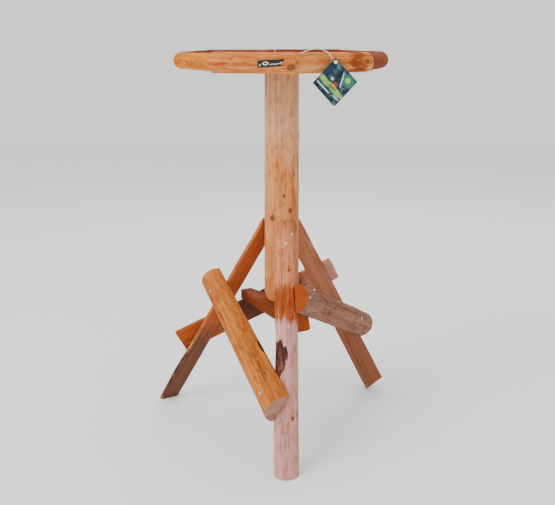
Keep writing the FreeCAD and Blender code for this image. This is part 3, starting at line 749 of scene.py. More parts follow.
@dataclass
class Log:
    """Round or half-round log, made oversize, weathered, and then sawn.

    Attributes:
        name: Name of the piece.
        node: CAD node that it stands for.
        slot: Material slot of the record.
        start: Pith at the log's start.
        axis: Way that the pith runs.
        outward: Middle of the round side, seen from the pith.
        length: Length from the start.
        radii: Radius at the start and at the end.
        timber: Its finish.
        halved: Whether it is sawn in half through the pith.
        before: Stock before the start, sawn off later.
        after: Stock past the end, sawn off later.
        knots: Knots in it.
        barks: Bark on it.
        hollows: Dents and swellings: along, angle, half length, half width in degrees, height.
        swell: How uneven its round side is.
        cuts: Saw cuts: a point, the way to the waste, and the kind of cut.
    """

    name: str
    node: str
    slot: str
    start: Vector
    axis: Vector
    outward: Vector
    length: float
    radii: tuple[float, float]
    timber: Timber
    halved: bool = True
    before: float = 0.0
    after: float = 0.0
    knots: tuple[Knot, ...] = ()
    barks: tuple[Bark, ...] = ()
    hollows: tuple[tuple[float, float, float, float, float], ...] = ()
    swell: float = 0.0026
    cuts: list[tuple[Vector, Vector, Cut]] = field(default_factory=list)

    def place(self) -> Matrix:
        """The log's own frame: X to its round side and Z along its pith."""
        z = self.axis.normalized()
        y = z.cross(self.outward).normalized()
        x = y.cross(z)
        turn = Matrix((x, y, z)).transposed().to_4x4()
        return Matrix.Translation(self.start) @ turn

    def radius(self, along: float) -> float:
        """Radius some way along the log."""
        first, last = self.radii
        return first + (last - first) * along / self.length

    def blank(self, sides: int = 80, pitch: float = 0.006) -> bpy.types.Object:
        """Tapered log on its own axis, cut into rings, swollen and dented.

        Args:
            sides: Faces round the log.
            pitch: Distance between rings.

        Returns:
            The log, not yet sawn or put in its place.
        """
        whole = self.before + self.length + self.after
        bpy.ops.object.select_all(action="DESELECT")
        bpy.ops.mesh.primitive_cone_add(
            vertices=sides, radius1=self.radius(-self.before),
            radius2=self.radius(self.length + self.after),
            depth=whole, end_fill_type="NGON", location=(0.0, 0.0, whole / 2 - self.before))
        piece = Bench.take(self.name)
        Bench.settle(piece)
        bpy.ops.object.mode_set(mode="EDIT")
        Bench.pick(piece, "EDGE", lambda edge: abs(edge.verts[0].co.z - edge.verts[1].co.z) > whole / 2)
        bpy.ops.mesh.subdivide(number_cuts=int(whole / pitch))
        bpy.ops.object.mode_set(mode="OBJECT")
        drift = 3.7 * self.timber.seed + 0.31 * len(self.name)
        piece.location.x = drift
        Bench.finish(piece, "DISPLACE", texture=cloud_of("log_swell", 0.075), strength=self.swell,
                     texture_coords="GLOBAL", direction="NORMAL", mid_level=0.5)
        Bench.finish(piece, "DISPLACE", texture=cloud_of("log_rough", 0.012), strength=self.swell * 0.22,
                     texture_coords="GLOBAL", direction="NORMAL", mid_level=0.5)
        piece.location.x = 0.0
        self.dent(piece)
        return piece

    def dent(self, piece: bpy.types.Object) -> None:
        """Raise the knots, the bark and the swellings, and sink the hollows."""
        marks = [(k.along, k.angle, k.size * 1.8, math.degrees(1.8 * k.size / self.radius(k.along)), 0.0012)
                 for k in self.knots]
        marks += list(self.hollows)
        for b in self.barks:
            marks.append((b.along, b.angle, b.length, math.degrees(b.width / self.radius(b.along)), b.depth))
        for vertex in piece.data.vertices:
            co = vertex.co
            reach = math.hypot(co.x, co.y)
            if reach < 1e-5:
                continue
            angle = math.degrees(math.atan2(co.y, co.x))
            rise = 0.0
            for along, middle, half_long, half_wide, height in marks:
                turn = (angle - middle + 180) % 360 - 180
                away = ((co.z - along) / half_long) ** 2 + (turn / half_wide) ** 2
                if away < 9:
                    rise += height * math.exp(-away)
            co.x += co.x / reach * rise
            co.y += co.y / reach * rise

    def build(self, body: str = "table", arris: float = 0.0009) -> bpy.types.Object:
        """Make the log, saw it, dress it and hand it over.

        Args:
            body: Body that it rides on.
            arris: How much its sawn edges are worn.

        Returns:
            The finished piece.
        """
        piece = self.blank()
        place = self.place()
        piece.matrix_world = place
        Bench.settle(piece)
        if self.halved:
            self.cuts.insert(0, (self.start.copy(), -(place.col[0].to_3d()), Cut.ALONG))
        for point, waste, _ in self.cuts:
            Bench.saw(piece, point, waste)
        self.shape_further(piece)
        self.dress(piece, place)
        Bench.soften(piece, arris)
        return Bench.hand_over(piece, self.node, body, self.slot)

    def shape_further(self, piece: bpy.types.Object) -> None:
        """Work that only some logs need, after sawing."""

    def dress(self, piece: bpy.types.Object, place: Matrix) -> None:
        """Give the round side, the sawn faces and the end grain their materials."""
        middle = self.radius(self.length / 2)
        piece.data.materials.clear()
        piece.data.materials.append(self.timber.peeled(place, middle, self.knots, self.barks))
        piece.data.materials.append(self.timber.sawn_face(place))
        piece.data.materials.append(self.timber.end_grain(place))
        for face in piece.data.polygons:
            for point, waste, cut in self.cuts:
                flat = abs((face.center - point).dot(waste.normalized())) < 0.0002
                if flat and face.normal.dot(waste.normalized()) > 0.98:
                    face.material_index = 1 if cut is Cut.ALONG else 2


@dataclass
class CopedLog(Log):
    """Half log whose head is hollowed to sit against a round pole.

    Attributes:
        pole: Point of the pole's axis.
        cope: Radius of the hollow.
    """

    pole: Vector = field(default_factory=Vector)
    cope: float = 0.0458

    def shape_further(self, piece: bpy.types.Object) -> None:
        """Hollow the head with a round cutter."""
        bpy.ops.object.select_all(action="DESELECT")
        bpy.ops.mesh.primitive_cylinder_add(vertices=96, radius=self.cope, depth=2.0,
                                            location=(self.pole.x, self.pole.y, 0.9))
        cutter = Bench.take("cope_cutter")
        Bench.finish(piece, "BOOLEAN", operation="DIFFERENCE", object=cutter, solver="EXACT")
        bpy.data.objects.remove(cutter)


# ------------------------------------------------------------------ the table
POLE = Vector((0.0250, 0.0506, 0.0))
RIM_AZIMUTH = 6.3
CORNERS = 8


def toward(azimuth: float) -> Vector:
    """Level way out from the pole at an azimuth, counted from the front to the right."""
    turn = math.radians(azimuth)
    return Vector((math.sin(turn), -math.cos(turn), 0.0))


def sideways(azimuth: float) -> Vector:
    """Level way to the right of toward(azimuth), for one who faces the pole."""
    return toward(azimuth + 90.0)


@dataclass
class PoleLog(Log):
    """Whole round pole, bevelled round its foot."""

    bevel_height: float = 0.020
    bevel_depth: float = 0.008

    def dent(self, piece: bpy.types.Object) -> None:
        """Weather the pole and cut the bevel."""
        super().dent(piece)
        for vertex in piece.data.vertices:
            low = max(0.0, 1.0 - max(vertex.co.z, 0.0) / self.bevel_height)
            share = 1.0 - low * self.bevel_depth / self.radii[0]
            vertex.co.x *= share
            vertex.co.y *= share


@dataclass
class Stand:
    """Pole, legs, braces and tie: the woodwork that carries the tray."""

    pole_foot: float = 0.345
    pole_head: float = 0.962
    leg_face: float = 0.0458

    def build(self) -> None:
        """Make the pole, the legs, the braces and the tie."""
        self.make_pole()
        self.make_front_leg()
        self.make_left_leg()
        self.make_right_leg()
        self.make_braces()
        self.make_tie()

    def make_pole(self) -> None:
        """Round pole with three knots at the front."""
        # The first wash, pale pink from 0.47 to 0.70 up the pole, is painted light: it lifts the shade under
        # the tray.
        timber = Timber("pole", dark=(0.432, 0.129, 0.031), middle=(0.605, 0.22, 0.066),
                        light=(0.713, 0.296, 0.114), tint=(0.756, 0.35, 0.171), tinted=0.45, seed=2.0,
                        washes=(Wash(0.47, 0.70, (0.76, 0.44, 0.27), 0.65, 0.10),
                                Wash(-0.1, 0.13, (0.60, 0.20, 0.045), 0.55, 0.06)))
        length = self.pole_head - self.pole_foot
        pole = PoleLog("round_pole", "pole", "pole_wood", POLE + UP * self.pole_foot, UP,
                       Vector((0.0, -1.0, 0.0)), length, (0.046, 0.044), timber, halved=False,
                       before=0.02, swell=0.0022,
                       knots=(Knot(0.228, -32, 0.0075), Knot(0.249, 28.5, 0.0050), Knot(0.287, 7, 0.0035),
                              Knot(0.52, 150, 0.007),
                              Knot(0.33, -125, 0.006), Knot(0.12, 95, 0.005), Knot(0.44, 72, 0.004)),
                       barks=(Bark(0.40, 172, 0.05, 0.012, 0.001),))
        pole.cuts = [(POLE + UP * self.pole_foot, -UP, Cut.ACROSS),
                     (POLE + UP * self.pole_head, UP, Cut.ACROSS)]
        pole.build()

    def make_front_leg(self) -> None:
        """Front leg: pale and pinkish below, tan above, with a patch of bark."""
        # The last wash, darker orange at the leg's head from 0.615 to 0.80, is painted shade: it sets the
        # head off against the pole.
        timber = Timber("front_leg", dark=(0.483, 0.147, 0.057), middle=(0.609, 0.217, 0.094),
                        light=(0.693, 0.28, 0.135), tint=(0.672, 0.294, 0.187), tinted=0.4, seed=5.0,
                        washes=(Wash(-0.1, 0.375, (0.62, 0.31, 0.285), 0.92, 0.03),
                                Wash(0.388, 0.447, (0.38, 0.072, 0.012), 0.95, 0.025),
                                Wash(0.615, 0.80, (0.50, 0.17, 0.055), 0.75, 0.012)))
        axis = Vector((0.0, 0.4955, 0.8686))
        leg = CopedLog("leg_of_the_front", "leg_front", "front_leg_wood", Vector((0.0355, -0.2894, 0.0)),
                       axis,
                       Vector((0.0, -0.8686, 0.4955)), 0.70, (0.0309, 0.0300), timber, before=0.06,
                       knots=(Knot(0.505, 12, 0.003), Knot(0.13, 30, 0.004)),
                       barks=(Bark(0.280, -34, 0.048, 0.0215, 0.0018),),
                       hollows=((0.31, -88, 0.085, 30, -0.0045), (0.60, -70, 0.06, 40, -0.001)),
                       pole=POLE, cope=self.leg_face)
        front = leg.outward.normalized()
        square = (0.567 - leg.radius(0.64) * front.z) / axis.z
        leg.cuts = [(Vector(), -UP, Cut.ACROSS), (leg.start + axis * square, axis, Cut.ACROSS)]
        leg.build()

    def make_left_leg(self) -> None:
        """Left leg: dark stained flat to the front, orange edge, bark low down."""
        timber = Timber("left_leg", dark=(0.347, 0.112, 0.025), middle=(0.546, 0.2, 0.045),
                        light=(0.651, 0.288, 0.086), tint=(0.63, 0.288, 0.099), seed=9.0,
                        sawn=((0.075, 0.027, 0.014), (0.17, 0.062, 0.034)),
                        washes=(Wash(0.30, 0.70, (0.45, 0.105, 0.026), 0.9, 0.10),
                                Wash(-0.1, 0.24, (0.16, 0.072, 0.045), 0.5, 0.06)))
        leg = Log("leg_of_the_left", "leg_left", "left_leg_wood", Vector((-0.3014, 0.2049, 0.0)),
                  Vector((0.4629, -0.2188, 0.8590)), Vector((-0.4979, 0.7375, 0.4562)), 0.70,
                  (0.025, 0.025), timber, before=0.06, swell=0.0035,
                  knots=(Knot(0.35, 60, 0.004), Knot(0.52, -20, 0.005)),
                  barks=(Bark(0.085, 82, 0.085, 0.0235, 0.0062), Bark(0.30, -30, 0.07, 0.014, 0.0015)))
        way = toward(-115.3)
        leg.cuts = [(Vector(), -UP, Cut.ACROSS), (UP * 0.562, UP, Cut.ACROSS),
                    (POLE + way * self.leg_face, -way, Cut.ALONG)]
        leg.build()

    def make_right_leg(self) -> None:
        """Right leg: terracotta flat to the front, its foot sawn square."""
        timber = Timber("right_leg", dark=(0.378, 0.128, 0.042), middle=(0.546, 0.216, 0.078),
                        light=(0.651, 0.304, 0.132), tint=(0.609, 0.288, 0.156), seed=14.0,
                        sawn=((0.26, 0.085, 0.038), (0.50, 0.19, 0.098)),
                        washes=(Wash(-0.1, 0.20, (0.17, 0.055, 0.028), 0.65, 0.12),
                                Wash(0.30, 0.44, (0.46, 0.18, 0.10), 0.5, 0.05)))
        axis = Vector((-0.4083, -0.3236, 0.8536))
        leg = Log("leg_of_the_right", "leg_right", "right_leg_wood", Vector((0.3128, 0.2864, 0.0)), axis,
                  Vector((-0.4269, 0.8942, 0.1348)), 0.70, (0.0301, 0.0250), timber, before=0.06,
                  knots=(Knot(0.25, 20, 0.005), Knot(0.44, -35, 0.004)),
                  barks=(Bark(0.16, 35, 0.06, 0.015, 0.0016),))
        way = toward(128.4)
        leg.cuts = [(leg.start + axis * 0.01773, -axis, Cut.ACROSS), (UP * 0.555, UP, Cut.ACROSS),
                    (POLE + way * self.leg_face, -way, Cut.ALONG)]
        leg.build()

    def make_braces(self) -> None:
        """Three half-log braces, flats inwards and ends sawn square."""
        golden = Timber("golden_brace", dark=(0.36, 0.091, 0.013), middle=(0.509, 0.15, 0.022),
                        light=(0.62, 0.238, 0.047), tint=(0.56, 0.252, 0.071), tinted=0.3, seed=20.0,
                        end=((0.28, 0.13, 0.085), (0.52, 0.27, 0.19)))
        grey = Timber("grey_brace", dark=(0.158, 0.049, 0.025), middle=(0.259, 0.108, 0.061),
                      light=(0.345, 0.169, 0.108), tint=(0.291, 0.152, 0.105), tinted=0.55, seed=27.0,
                      end=((0.26, 0.038, 0.005), (0.38, 0.075, 0.012)))
        # In the rear brace, the near-black wash from 0.14 to 0.37 is painted shadow: the middle of the brace
        # lies in shade behind the front leg and the front-right brace.
        brown = Timber("rear_brace", dark=(0.26, 0.083, 0.036), middle=(0.42, 0.165, 0.078),
                       light=(0.52, 0.24, 0.12), tint=(0.45, 0.217, 0.126), seed=33.0,
                       sawn=((0.24, 0.085, 0.050), (0.42, 0.17, 0.105)),
                       washes=(Wash(-0.1, 0.115, (0.37, 0.072, 0.012), 0.95, 0.02),
                               Wash(0.14, 0.37, (0.075, 0.024, 0.016), 0.92, 0.02),
                               Wash(0.405, 0.60, (0.64, 0.31, 0.22), 0.92, 0.02)))
        logs = (
            Log("brace_front_and_left", "brace_front_left", "brace_golden_wood",
                Vector((0.0230, -0.2450, 0.1490)), Vector((-0.3759, 0.8079, 0.4539)),
                Vector((-0.7941, -0.5333, 0.2915)), 0.497, (0.0435, 0.0360), golden, before=0.012,
                knots=(Knot(0.150, 42, 0.0035), Knot(0.412, -18, 0.0045), Knot(0.235, -60, 0.004),
                       Knot(0.035, 15, 0.003)),
                barks=(Bark(0.175, 82, 0.022, 0.006, 0.0005),), swell=0.0022),
            Log("brace_front_and_right", "brace_front_right", "brace_grey_wood",
                Vector((0.2591, 0.2553, 0.2095)), Vector((-0.4533, -0.7950, 0.4030)),
                Vector((0.8911, -0.3930, 0.2269)), 0.443, (0.0385, 0.0370), grey, before=0.012,
                knots=(Knot(0.12, 20, 0.004), Knot(0.30, -30, 0.005)),
                hollows=((0.0, -60, 0.05, 45, -0.003), (0.02, 60, 0.05, 40, -0.002)), swell=0.0028),
            Log("brace_at_the_rear", "brace_rear", "brace_rear_wood",
                Vector((-0.2626, 0.1778, 0.1802)), Vector((0.8948, -0.0106, 0.4464)),
                Vector((-0.1353, 0.9463, 0.2936)), 0.487, (0.0350, 0.0340), brown, before=0.012,
                knots=(Knot(0.20, 10, 0.005), Knot(0.36, -25, 0.006), Knot(0.08, 40, 0.004)),
                barks=(Bark(0.30, 45, 0.08, 0.016, 0.0015),)),
        )
        for brace in logs:
            axis = brace.axis.normalized()
            brace.axis = axis
            brace.after = 0.012
            brace.cuts = [(brace.start.copy(), -axis, Cut.ACROSS),
                          (brace.start + axis * brace.length, axis, Cut.ACROSS)]
            brace.build()

    def make_tie(self) -> None:
        """Tapered squared offcut under the pole's foot, its thick end sawn to the brace's flat."""
        way = toward(34.5)
        side = sideways(34.5)
        rear = POLE + Vector((-0.100, 0.103, self.pole_foot))
        turn = Matrix((-side, way, UP)).transposed()
        tie = Board("squared_tie", "pole_tie", "tie_wood", Matrix.Translation(rear) @ turn.to_4x4(),
                    (0.032, 0.279, 0.026), far=(0.050, 0.052),
                    timber=Timber("tie", dark=(0.12, 0.03, 0.012), middle=(0.2, 0.06, 0.025),
                                  light=(0.3, 0.12, 0.06), tint=(0.2, 0.09, 0.05), seed=40.0,
                                  sawn=((0.11, 0.02, 0.006), (0.25, 0.055, 0.016)),
                                  end=((0.22, 0.038, 0.008), (0.40, 0.085, 0.018))), arris=0.0016)
        out = Vector((0.8911, -0.3930, 0.2269))
        tie.cuts = [(Vector((0.2591, 0.2553, 0.2095)) - out * 0.0005, out)]
        tie.build()


@dataclass
class Board:
    """Sawn board or batten. Its own X is across, Y along the grain and Z its top face.

    Attributes:
        name: Name of the piece.
        node: CAD node that it stands for.
        slot: Material slot of the record.
        place: Middle of the top edge of its near end.
        size: Width, length and thickness.
        timber: Its finish.
        far: Width and thickness at the far end, if they differ.
        arris: How much its edges are worn.
        cuts: Planes that it is sawn to.
    """

    name: str
    node: str
    slot: str
    place: Matrix
    size: tuple[float, float, float]
    timber: Timber
    far: tuple[float, float] | None = None
    arris: float = 0.0011
    cuts: list[tuple[Vector, Vector]] = field(default_factory=list)

    def build(self) -> bpy.types.Object:
        """Make the board, saw it, wear its edges and dress it."""
        wide, length, thick = self.size
        bpy.ops.object.select_all(action="DESELECT")
        bpy.ops.mesh.primitive_cube_add(size=1.0, location=(0.0, length / 2, -thick / 2),
                                        scale=(wide, length, thick))
        piece = Bench.take(self.name)
        Bench.settle(piece)
        if self.far is not None:
            bpy.ops.object.mode_set(mode="EDIT")
            Bench.pick(piece, "FACE", lambda face: face.normal.y > 0.9)
            bpy.ops.transform.resize(value=(self.far[0] / wide, 1.0, self.far[1] / thick),
                                     center_override=(0.0, length, 0.0))
            bpy.ops.object.mode_set(mode="OBJECT")
        bpy.ops.object.mode_set(mode="EDIT")
        Bench.pick(piece, "EDGE", lambda edge: abs(edge.verts[0].co.y - edge.verts[1].co.y) > length / 2)
        bpy.ops.mesh.subdivide(number_cuts=int(length / 0.012))
        Bench.pick(piece, "EDGE", lambda edge: abs(edge.verts[0].co.x - edge.verts[1].co.x) > wide / 2)
        bpy.ops.mesh.subdivide(number_cuts=max(2, int(wide / 0.012)))
        bpy.ops.object.mode_set(mode="OBJECT")
        drift = 1.9 * self.timber.seed
        piece.location.x = drift
        Bench.finish(piece, "DISPLACE", texture=cloud_of("log_swell", 0.075), strength=0.0007,
                     texture_coords="GLOBAL", direction="Z", mid_level=0.5)
        piece.location.x = 0.0
        piece.matrix_world = self.place
        Bench.settle(piece)
        for point, waste in self.cuts:
            Bench.saw(piece, point, waste)
        Bench.soften(piece, self.arris)
        self.dress(piece)
        return Bench.hand_over(piece, self.node, "table", self.slot)

    def dress(self, piece: bpy.types.Object) -> None:
        """Sawn grain along the board and end grain on its ends."""
        turn = Matrix.Rotation(math.radians(-90), 4, "X")
        grain = self.place @ turn
        way = self.place.col[1].to_3d().normalized()
        piece.data.materials.clear()
        piece.data.materials.append(self.timber.sawn_face(grain))
        pith = Matrix.Translation(UP * -0.05) @ grain
        piece.data.materials.append(self.timber.end_grain(pith))
        for face in piece.data.polygons:
            if abs(face.normal.dot(way)) > 0.6:
                face.material_index = 1


@dataclass
class Tray:
    """Octagonal tray: eight half-log rim pieces, five planks and two battens."""

    apothem: float = 0.233
    rim_axis: float = 0.9745
    stock: float = 0.240
    floor_apothem: float = 0.231
    plank_count: int = 5
    plank_gap: float = 0.003
    plank_thickness: float = 0.016
    plank_base: float = 0.962
    batten_size: tuple[float, float, float] = (0.040, 0.380, 0.013)
    batten_offset: float = 0.0645

    def rim_timbers(self) -> list[tuple[str, float, float, Timber, dict[str, object]]]:
        """Name, first and last radius, finish and marks of each rim log, from the front to the right."""
        def pine(name: str, seed: float, **changes: object) -> Timber:
            tones: dict[str, object] = dict(
                dark=(0.46, 0.11, 0.020), middle=(0.68, 0.22, 0.048), light=(0.80, 0.35, 0.11),
                tint=(0.74, 0.35, 0.15), tinted=0.3, sawn=((0.22, 0.045, 0.016), (0.36, 0.09, 0.035)),
                seed=seed)
            tones.update(changes)
            return Timber(name, **tones)

        return [
            ("rim_front_right", 0.0245, 0.0230,
             pine("rim_front_right", 50.0, tint=(0.68, 0.38, 0.22), tinted=0.45,
                  washes=(Wash(0.174, 0.197, (0.26, 0.045, 0.008), 0.85, 0.015),)),
             dict(knots=(Knot(0.206, -6, 0.0055),), hollows=((0.210, 5, 0.012, 80, 0.0034),))),
            # The near-black red tones of rim_right_front are painted shade: this log lies on the right of the
            # tray, away from the key lamp.
            ("rim_right_front", 0.0215, 0.0220,
             pine("rim_right_front", 54.0, middle=(0.26, 0.045, 0.003), dark=(0.13, 0.018, 0.002),
                  light=(0.36, 0.075, 0.006), tint=(0.27, 0.05, 0.004)),
             dict(knots=(Knot(0.15, 20, 0.005),))),
            ("rim_right_rear", 0.0220, 0.0230, pine("rim_right_rear", 58.0),
             dict(knots=(Knot(0.08, 0, 0.006),))),
            ("rim_rear_right", 0.0244, 0.0229,
             pine("rim_rear_right", 61.0, sawn=((0.16, 0.025, 0.008), (0.30, 0.055, 0.02)),
                  middle=(0.36, 0.075, 0.018), dark=(0.2, 0.03, 0.008), light=(0.5, 0.14, 0.05),
                  tint=(0.4, 0.1, 0.03)),
             dict(knots=(Knot(0.17, 25, 0.005),))),
            ("rim_rear_left", 0.0224, 0.0239,
             pine("rim_rear_left", 66.0, sawn=((0.22, 0.04, 0.018), (0.40, 0.11, 0.06)),
                  middle=(0.46, 0.13, 0.045), dark=(0.26, 0.05, 0.015), light=(0.6, 0.22, 0.10),
                  tint=(0.5, 0.18, 0.08)),
             dict(knots=(Knot(0.11, -10, 0.007),), barks=(Bark(0.10, -50, 0.04, 0.01, 0.0008),))),
            ("rim_left_rear", 0.0230, 0.0210, pine("rim_left_rear", 71.0),
             dict(knots=(Knot(0.06, 15, 0.004),))),
            ("rim_left_front", 0.0195, 0.0222,
             pine("rim_left_front", 76.0, middle=(0.64, 0.21, 0.018), dark=(0.45, 0.12, 0.009),
                  light=(0.74, 0.31, 0.035), tint=(0.66, 0.27, 0.05)),
             dict(knots=(Knot(0.10, 5, 0.003),))),
            ("rim_front_left", 0.0248, 0.0245,
             pine("rim_front_left", 83.0, light=(0.84, 0.38, 0.13)),
             dict(knots=(Knot(0.2145, 20, 0.0085),), hollows=((0.213, 10, 0.014, 75, 0.0020),))),
        ]

    def build(self) -> None:
        """Make the rim and the floor."""
        self.make_rim()
        self.make_floor()

    def make_rim(self) -> None:
        """Saw the eight rim logs to their mitres."""
        step = 360.0 / CORNERS
        for index, (node, first, last, timber, marks) in enumerate(self.rim_timbers()):
            begin = RIM_AZIMUTH + index * step
            middle = begin + step / 2
            end = begin + step
            start = (POLE + toward(middle) * self.apothem - sideways(middle) * (self.stock / 2)
                     + UP * self.rim_axis)
            rim = Log(node.replace("rim_", "rim_log_"), node, "rim_wood", start, sideways(middle),
                      toward(middle), self.stock, (first, last), timber, swell=0.0016, **marks)
            rim.cuts = [(POLE + sideways(begin) * 0.0003, -sideways(begin), Cut.ACROSS),
                        (POLE - sideways(end) * 0.0003, sideways(end), Cut.ACROSS)]
            rim.build(arris=0.0007)

    def make_floor(self) -> None:
        """Saw the planks to the octagon and lay them on two battens.

        Known fault: the planks keep a few open and doubled edges on top.
        """
        turn = RIM_AZIMUTH - 180.0 / CORNERS
        across = sideways(turn)
        along = toward(turn + 180.0)
        width = (2 * self.floor_apothem - (self.plank_count - 1) * self.plank_gap) / self.plank_count
        top = self.plank_base + self.plank_thickness
        for index in range(self.plank_count):
            offset = (index - (self.plank_count - 1) / 2) * (width + self.plank_gap)
            near = POLE + along * offset - across * self.floor_apothem + UP * top
            place = Matrix.Translation(near) @ Matrix((-along, across, UP)).transposed().to_4x4()
            timber = Timber("plank_%d" % (index + 1), **DECK_TONES, seed=90.0 + 4 * index,
                            sawn=((0.36, 0.135 + 0.008 * index, 0.055), (0.60, 0.28 + 0.010 * index, 0.125)))
            plank = Board("floor_plank_%d" % (index + 1), "tray_plank_%d" % (index + 1), "plank_wood",
                          place, (width, 2 * self.floor_apothem, self.plank_thickness), timber)
            for corner in range(CORNERS):
                way = toward(RIM_AZIMUTH + (corner + 0.5) * 360.0 / CORNERS)
                plank.cuts.append((POLE + way * self.floor_apothem, way))
            plank.build()
        wide, length, thick = self.batten_size
        for name, side in (("batten_left", -1), ("batten_right", 1)):
            near = POLE + across * (side * self.batten_offset) - along * (length / 2) + UP * self.plank_base
            place = Matrix.Translation(near) @ Matrix((across, along, UP)).transposed().to_4x4()
            timber = Timber(name, **DECK_TONES, seed=120.0 + side, sawn=((0.30, 0.14, 0.07),
                                                                           (0.5, 0.28, 0.16)))
            Board("floor_" + name, name, "batten_wood", place, (wide, length, thick), timber).build()


@dataclass
class Screws:
    """Countersunk wood screws with a cross recess, one driven at each place of a CAD screw.

    Attributes:
        radius: Radius of the head.
        shank: Radius of the shank.
        sides: Faces round a screw.
    """

    radius: float = 0.0040
    shank: float = 0.0019
    sides: int = 16

    def build(self) -> None:
        """Make every group of screws."""
        steel = Zinc("zinc_plate").material()
        for node in ("leg_front_screws", "leg_left_screws", "leg_right_screws", "brace_screws",
                     "tie_screws", "plank_screws", "pole_head_screws", "rim_screws"):
            self.drive(node, steel)

    def pattern(self, length: float) -> bpy.types.Object:
        """One screw, its head's top at the origin and its point down -Z.

        Args:
            length: The CAD screw's length. The head comes on top of 97 % of it.

        Returns:
            The screw, a little longer than the CAD's.
        """
        bpy.ops.object.select_all(action="DESELECT")
        bpy.ops.mesh.primitive_circle_add(vertices=self.sides, radius=self.radius * 0.93, fill_type="NGON",
                                          location=(0.0, 0.0, 0.0))
        piece = Bench.take("screw_pattern")
        bpy.ops.object.mode_set(mode="EDIT")
        bpy.ops.mesh.select_mode(type="FACE")
        bpy.ops.mesh.select_all(action="SELECT")
        turns, crest = 9, 1.18
        neck, threaded, point = 0.16, 0.72, 0.09
        pitch = (length * threaded) / (2 * turns)
        steps = [(0.0002, 1.075), (0.0004, 1.0), (0.0024, self.shank / self.radius), (length * neck, 1.0)]
        steps += [(pitch, crest if turn % 2 == 0 else 1 / crest) for turn in range(2 * turns)]
        steps.append((length * point, 0.12))
        depth = 0.0
        for down, grow in steps:
            depth += down
            bpy.ops.mesh.extrude_region_move(TRANSFORM_OT_translate={"value": (0.0, 0.0, -down)})
            bpy.ops.transform.resize(value=(grow, grow, 1.0), center_override=(0.0, 0.0, -depth))
        bpy.ops.mesh.select_all(action="SELECT")
        bpy.ops.mesh.normals_make_consistent(inside=False)
        bpy.ops.object.mode_set(mode="OBJECT")
        self.cut_recess(piece)
        Bench.alone(piece)
        bpy.ops.object.shade_smooth_by_angle(angle=math.radians(32))
        return piece

    def cut_recess(self, piece: bpy.types.Object) -> None:
        """Sink a plain cross into the head."""
        for quarter in (0.0, math.pi / 2):
            bpy.ops.object.select_all(action="DESELECT")
            bpy.ops.mesh.primitive_cube_add(size=1.0, location=(0.0, 0.0, 0.0), rotation=(0.0, 0.0, quarter),
                                            scale=(self.radius * 1.15, self.radius * 0.26, 0.0024))
            cutter = Bench.take("recess_cutter")
            Bench.finish(piece, "BOOLEAN", operation="DIFFERENCE", object=cutter, solver="EXACT")
            bpy.data.objects.remove(cutter)

    def drive(self, node: str, steel: bpy.types.Material) -> None:
        """Put a screw at each place of a CAD screw group.

        Args:
            node: The CAD node.
            steel: The screws' material.
        """
        places, length = self.places(node)
        pattern = self.pattern(length)
        copies = []
        for number, (top, out) in enumerate(places):
            copy = pattern.copy()
            copy.data = pattern.data.copy()
            bpy.context.scene.collection.objects.link(copy)
            turn = Vector((0.0, 0.0, 1.0)).rotation_difference(out).to_matrix().to_4x4()
            spin = Matrix.Rotation(0.7 * number, 4, "Z")
            copy.matrix_world = Matrix.Translation(top) @ turn @ spin
            copies.append(copy)
        bpy.data.objects.remove(pattern)
        bpy.ops.object.select_all(action="DESELECT")
        for copy in copies:
            copy.select_set(True)
        bpy.context.view_layer.objects.active = copies[0]
        bpy.ops.object.join()
        piece = Bench.take("driven_" + node)
        Bench.settle(piece)
        piece.data.materials.clear()
        piece.data.materials.append(steel)
        Bench.hand_over(piece, node, "table", "screw_steel")

    @staticmethod
    def places(node: str) -> tuple[list[tuple[Vector, Vector]], float]:
        """Where the heads of a CAD screw group are.

        Args:
            node: The CAD node.

        Returns:
            The top of each head with the way out of it, and the screws' length.
        """
        sheet = bmesh.new()
        sheet.from_mesh(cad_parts[node].data)
        bmesh.ops.remove_doubles(sheet, verts=sheet.verts, dist=1e-6)
        left = set(sheet.verts)
        found = []
        length = 0.0
        while left:
            island = {left.pop()}
            front = set(island)
            while front:
                front = {edge.other_vert(vert) for vert in front for edge in vert.link_edges} - island
                island |= front
            left -= island
            points = numpy.array([vert.co[:] for vert in island])
            middle = points.mean(0)
            axis = numpy.linalg.svd(points - middle)[2][0]
            along = (points - middle) @ axis
            spread = numpy.linalg.norm(points - middle - numpy.outer(along, axis), axis=1)
            if along[spread.argmax()] < 0:
                axis, along = -axis, -along
            rim = points[along > along.max() - 1e-4]
            found.append((Vector(rim.mean(0)), Vector(axis)))
            length = float(along.max() - along.min())
        sheet.free()
        found.sort(key=lambda place: (round(place[0].z, 4), round(place[0].x, 4), round(place[0].y, 4)))
        return found, length


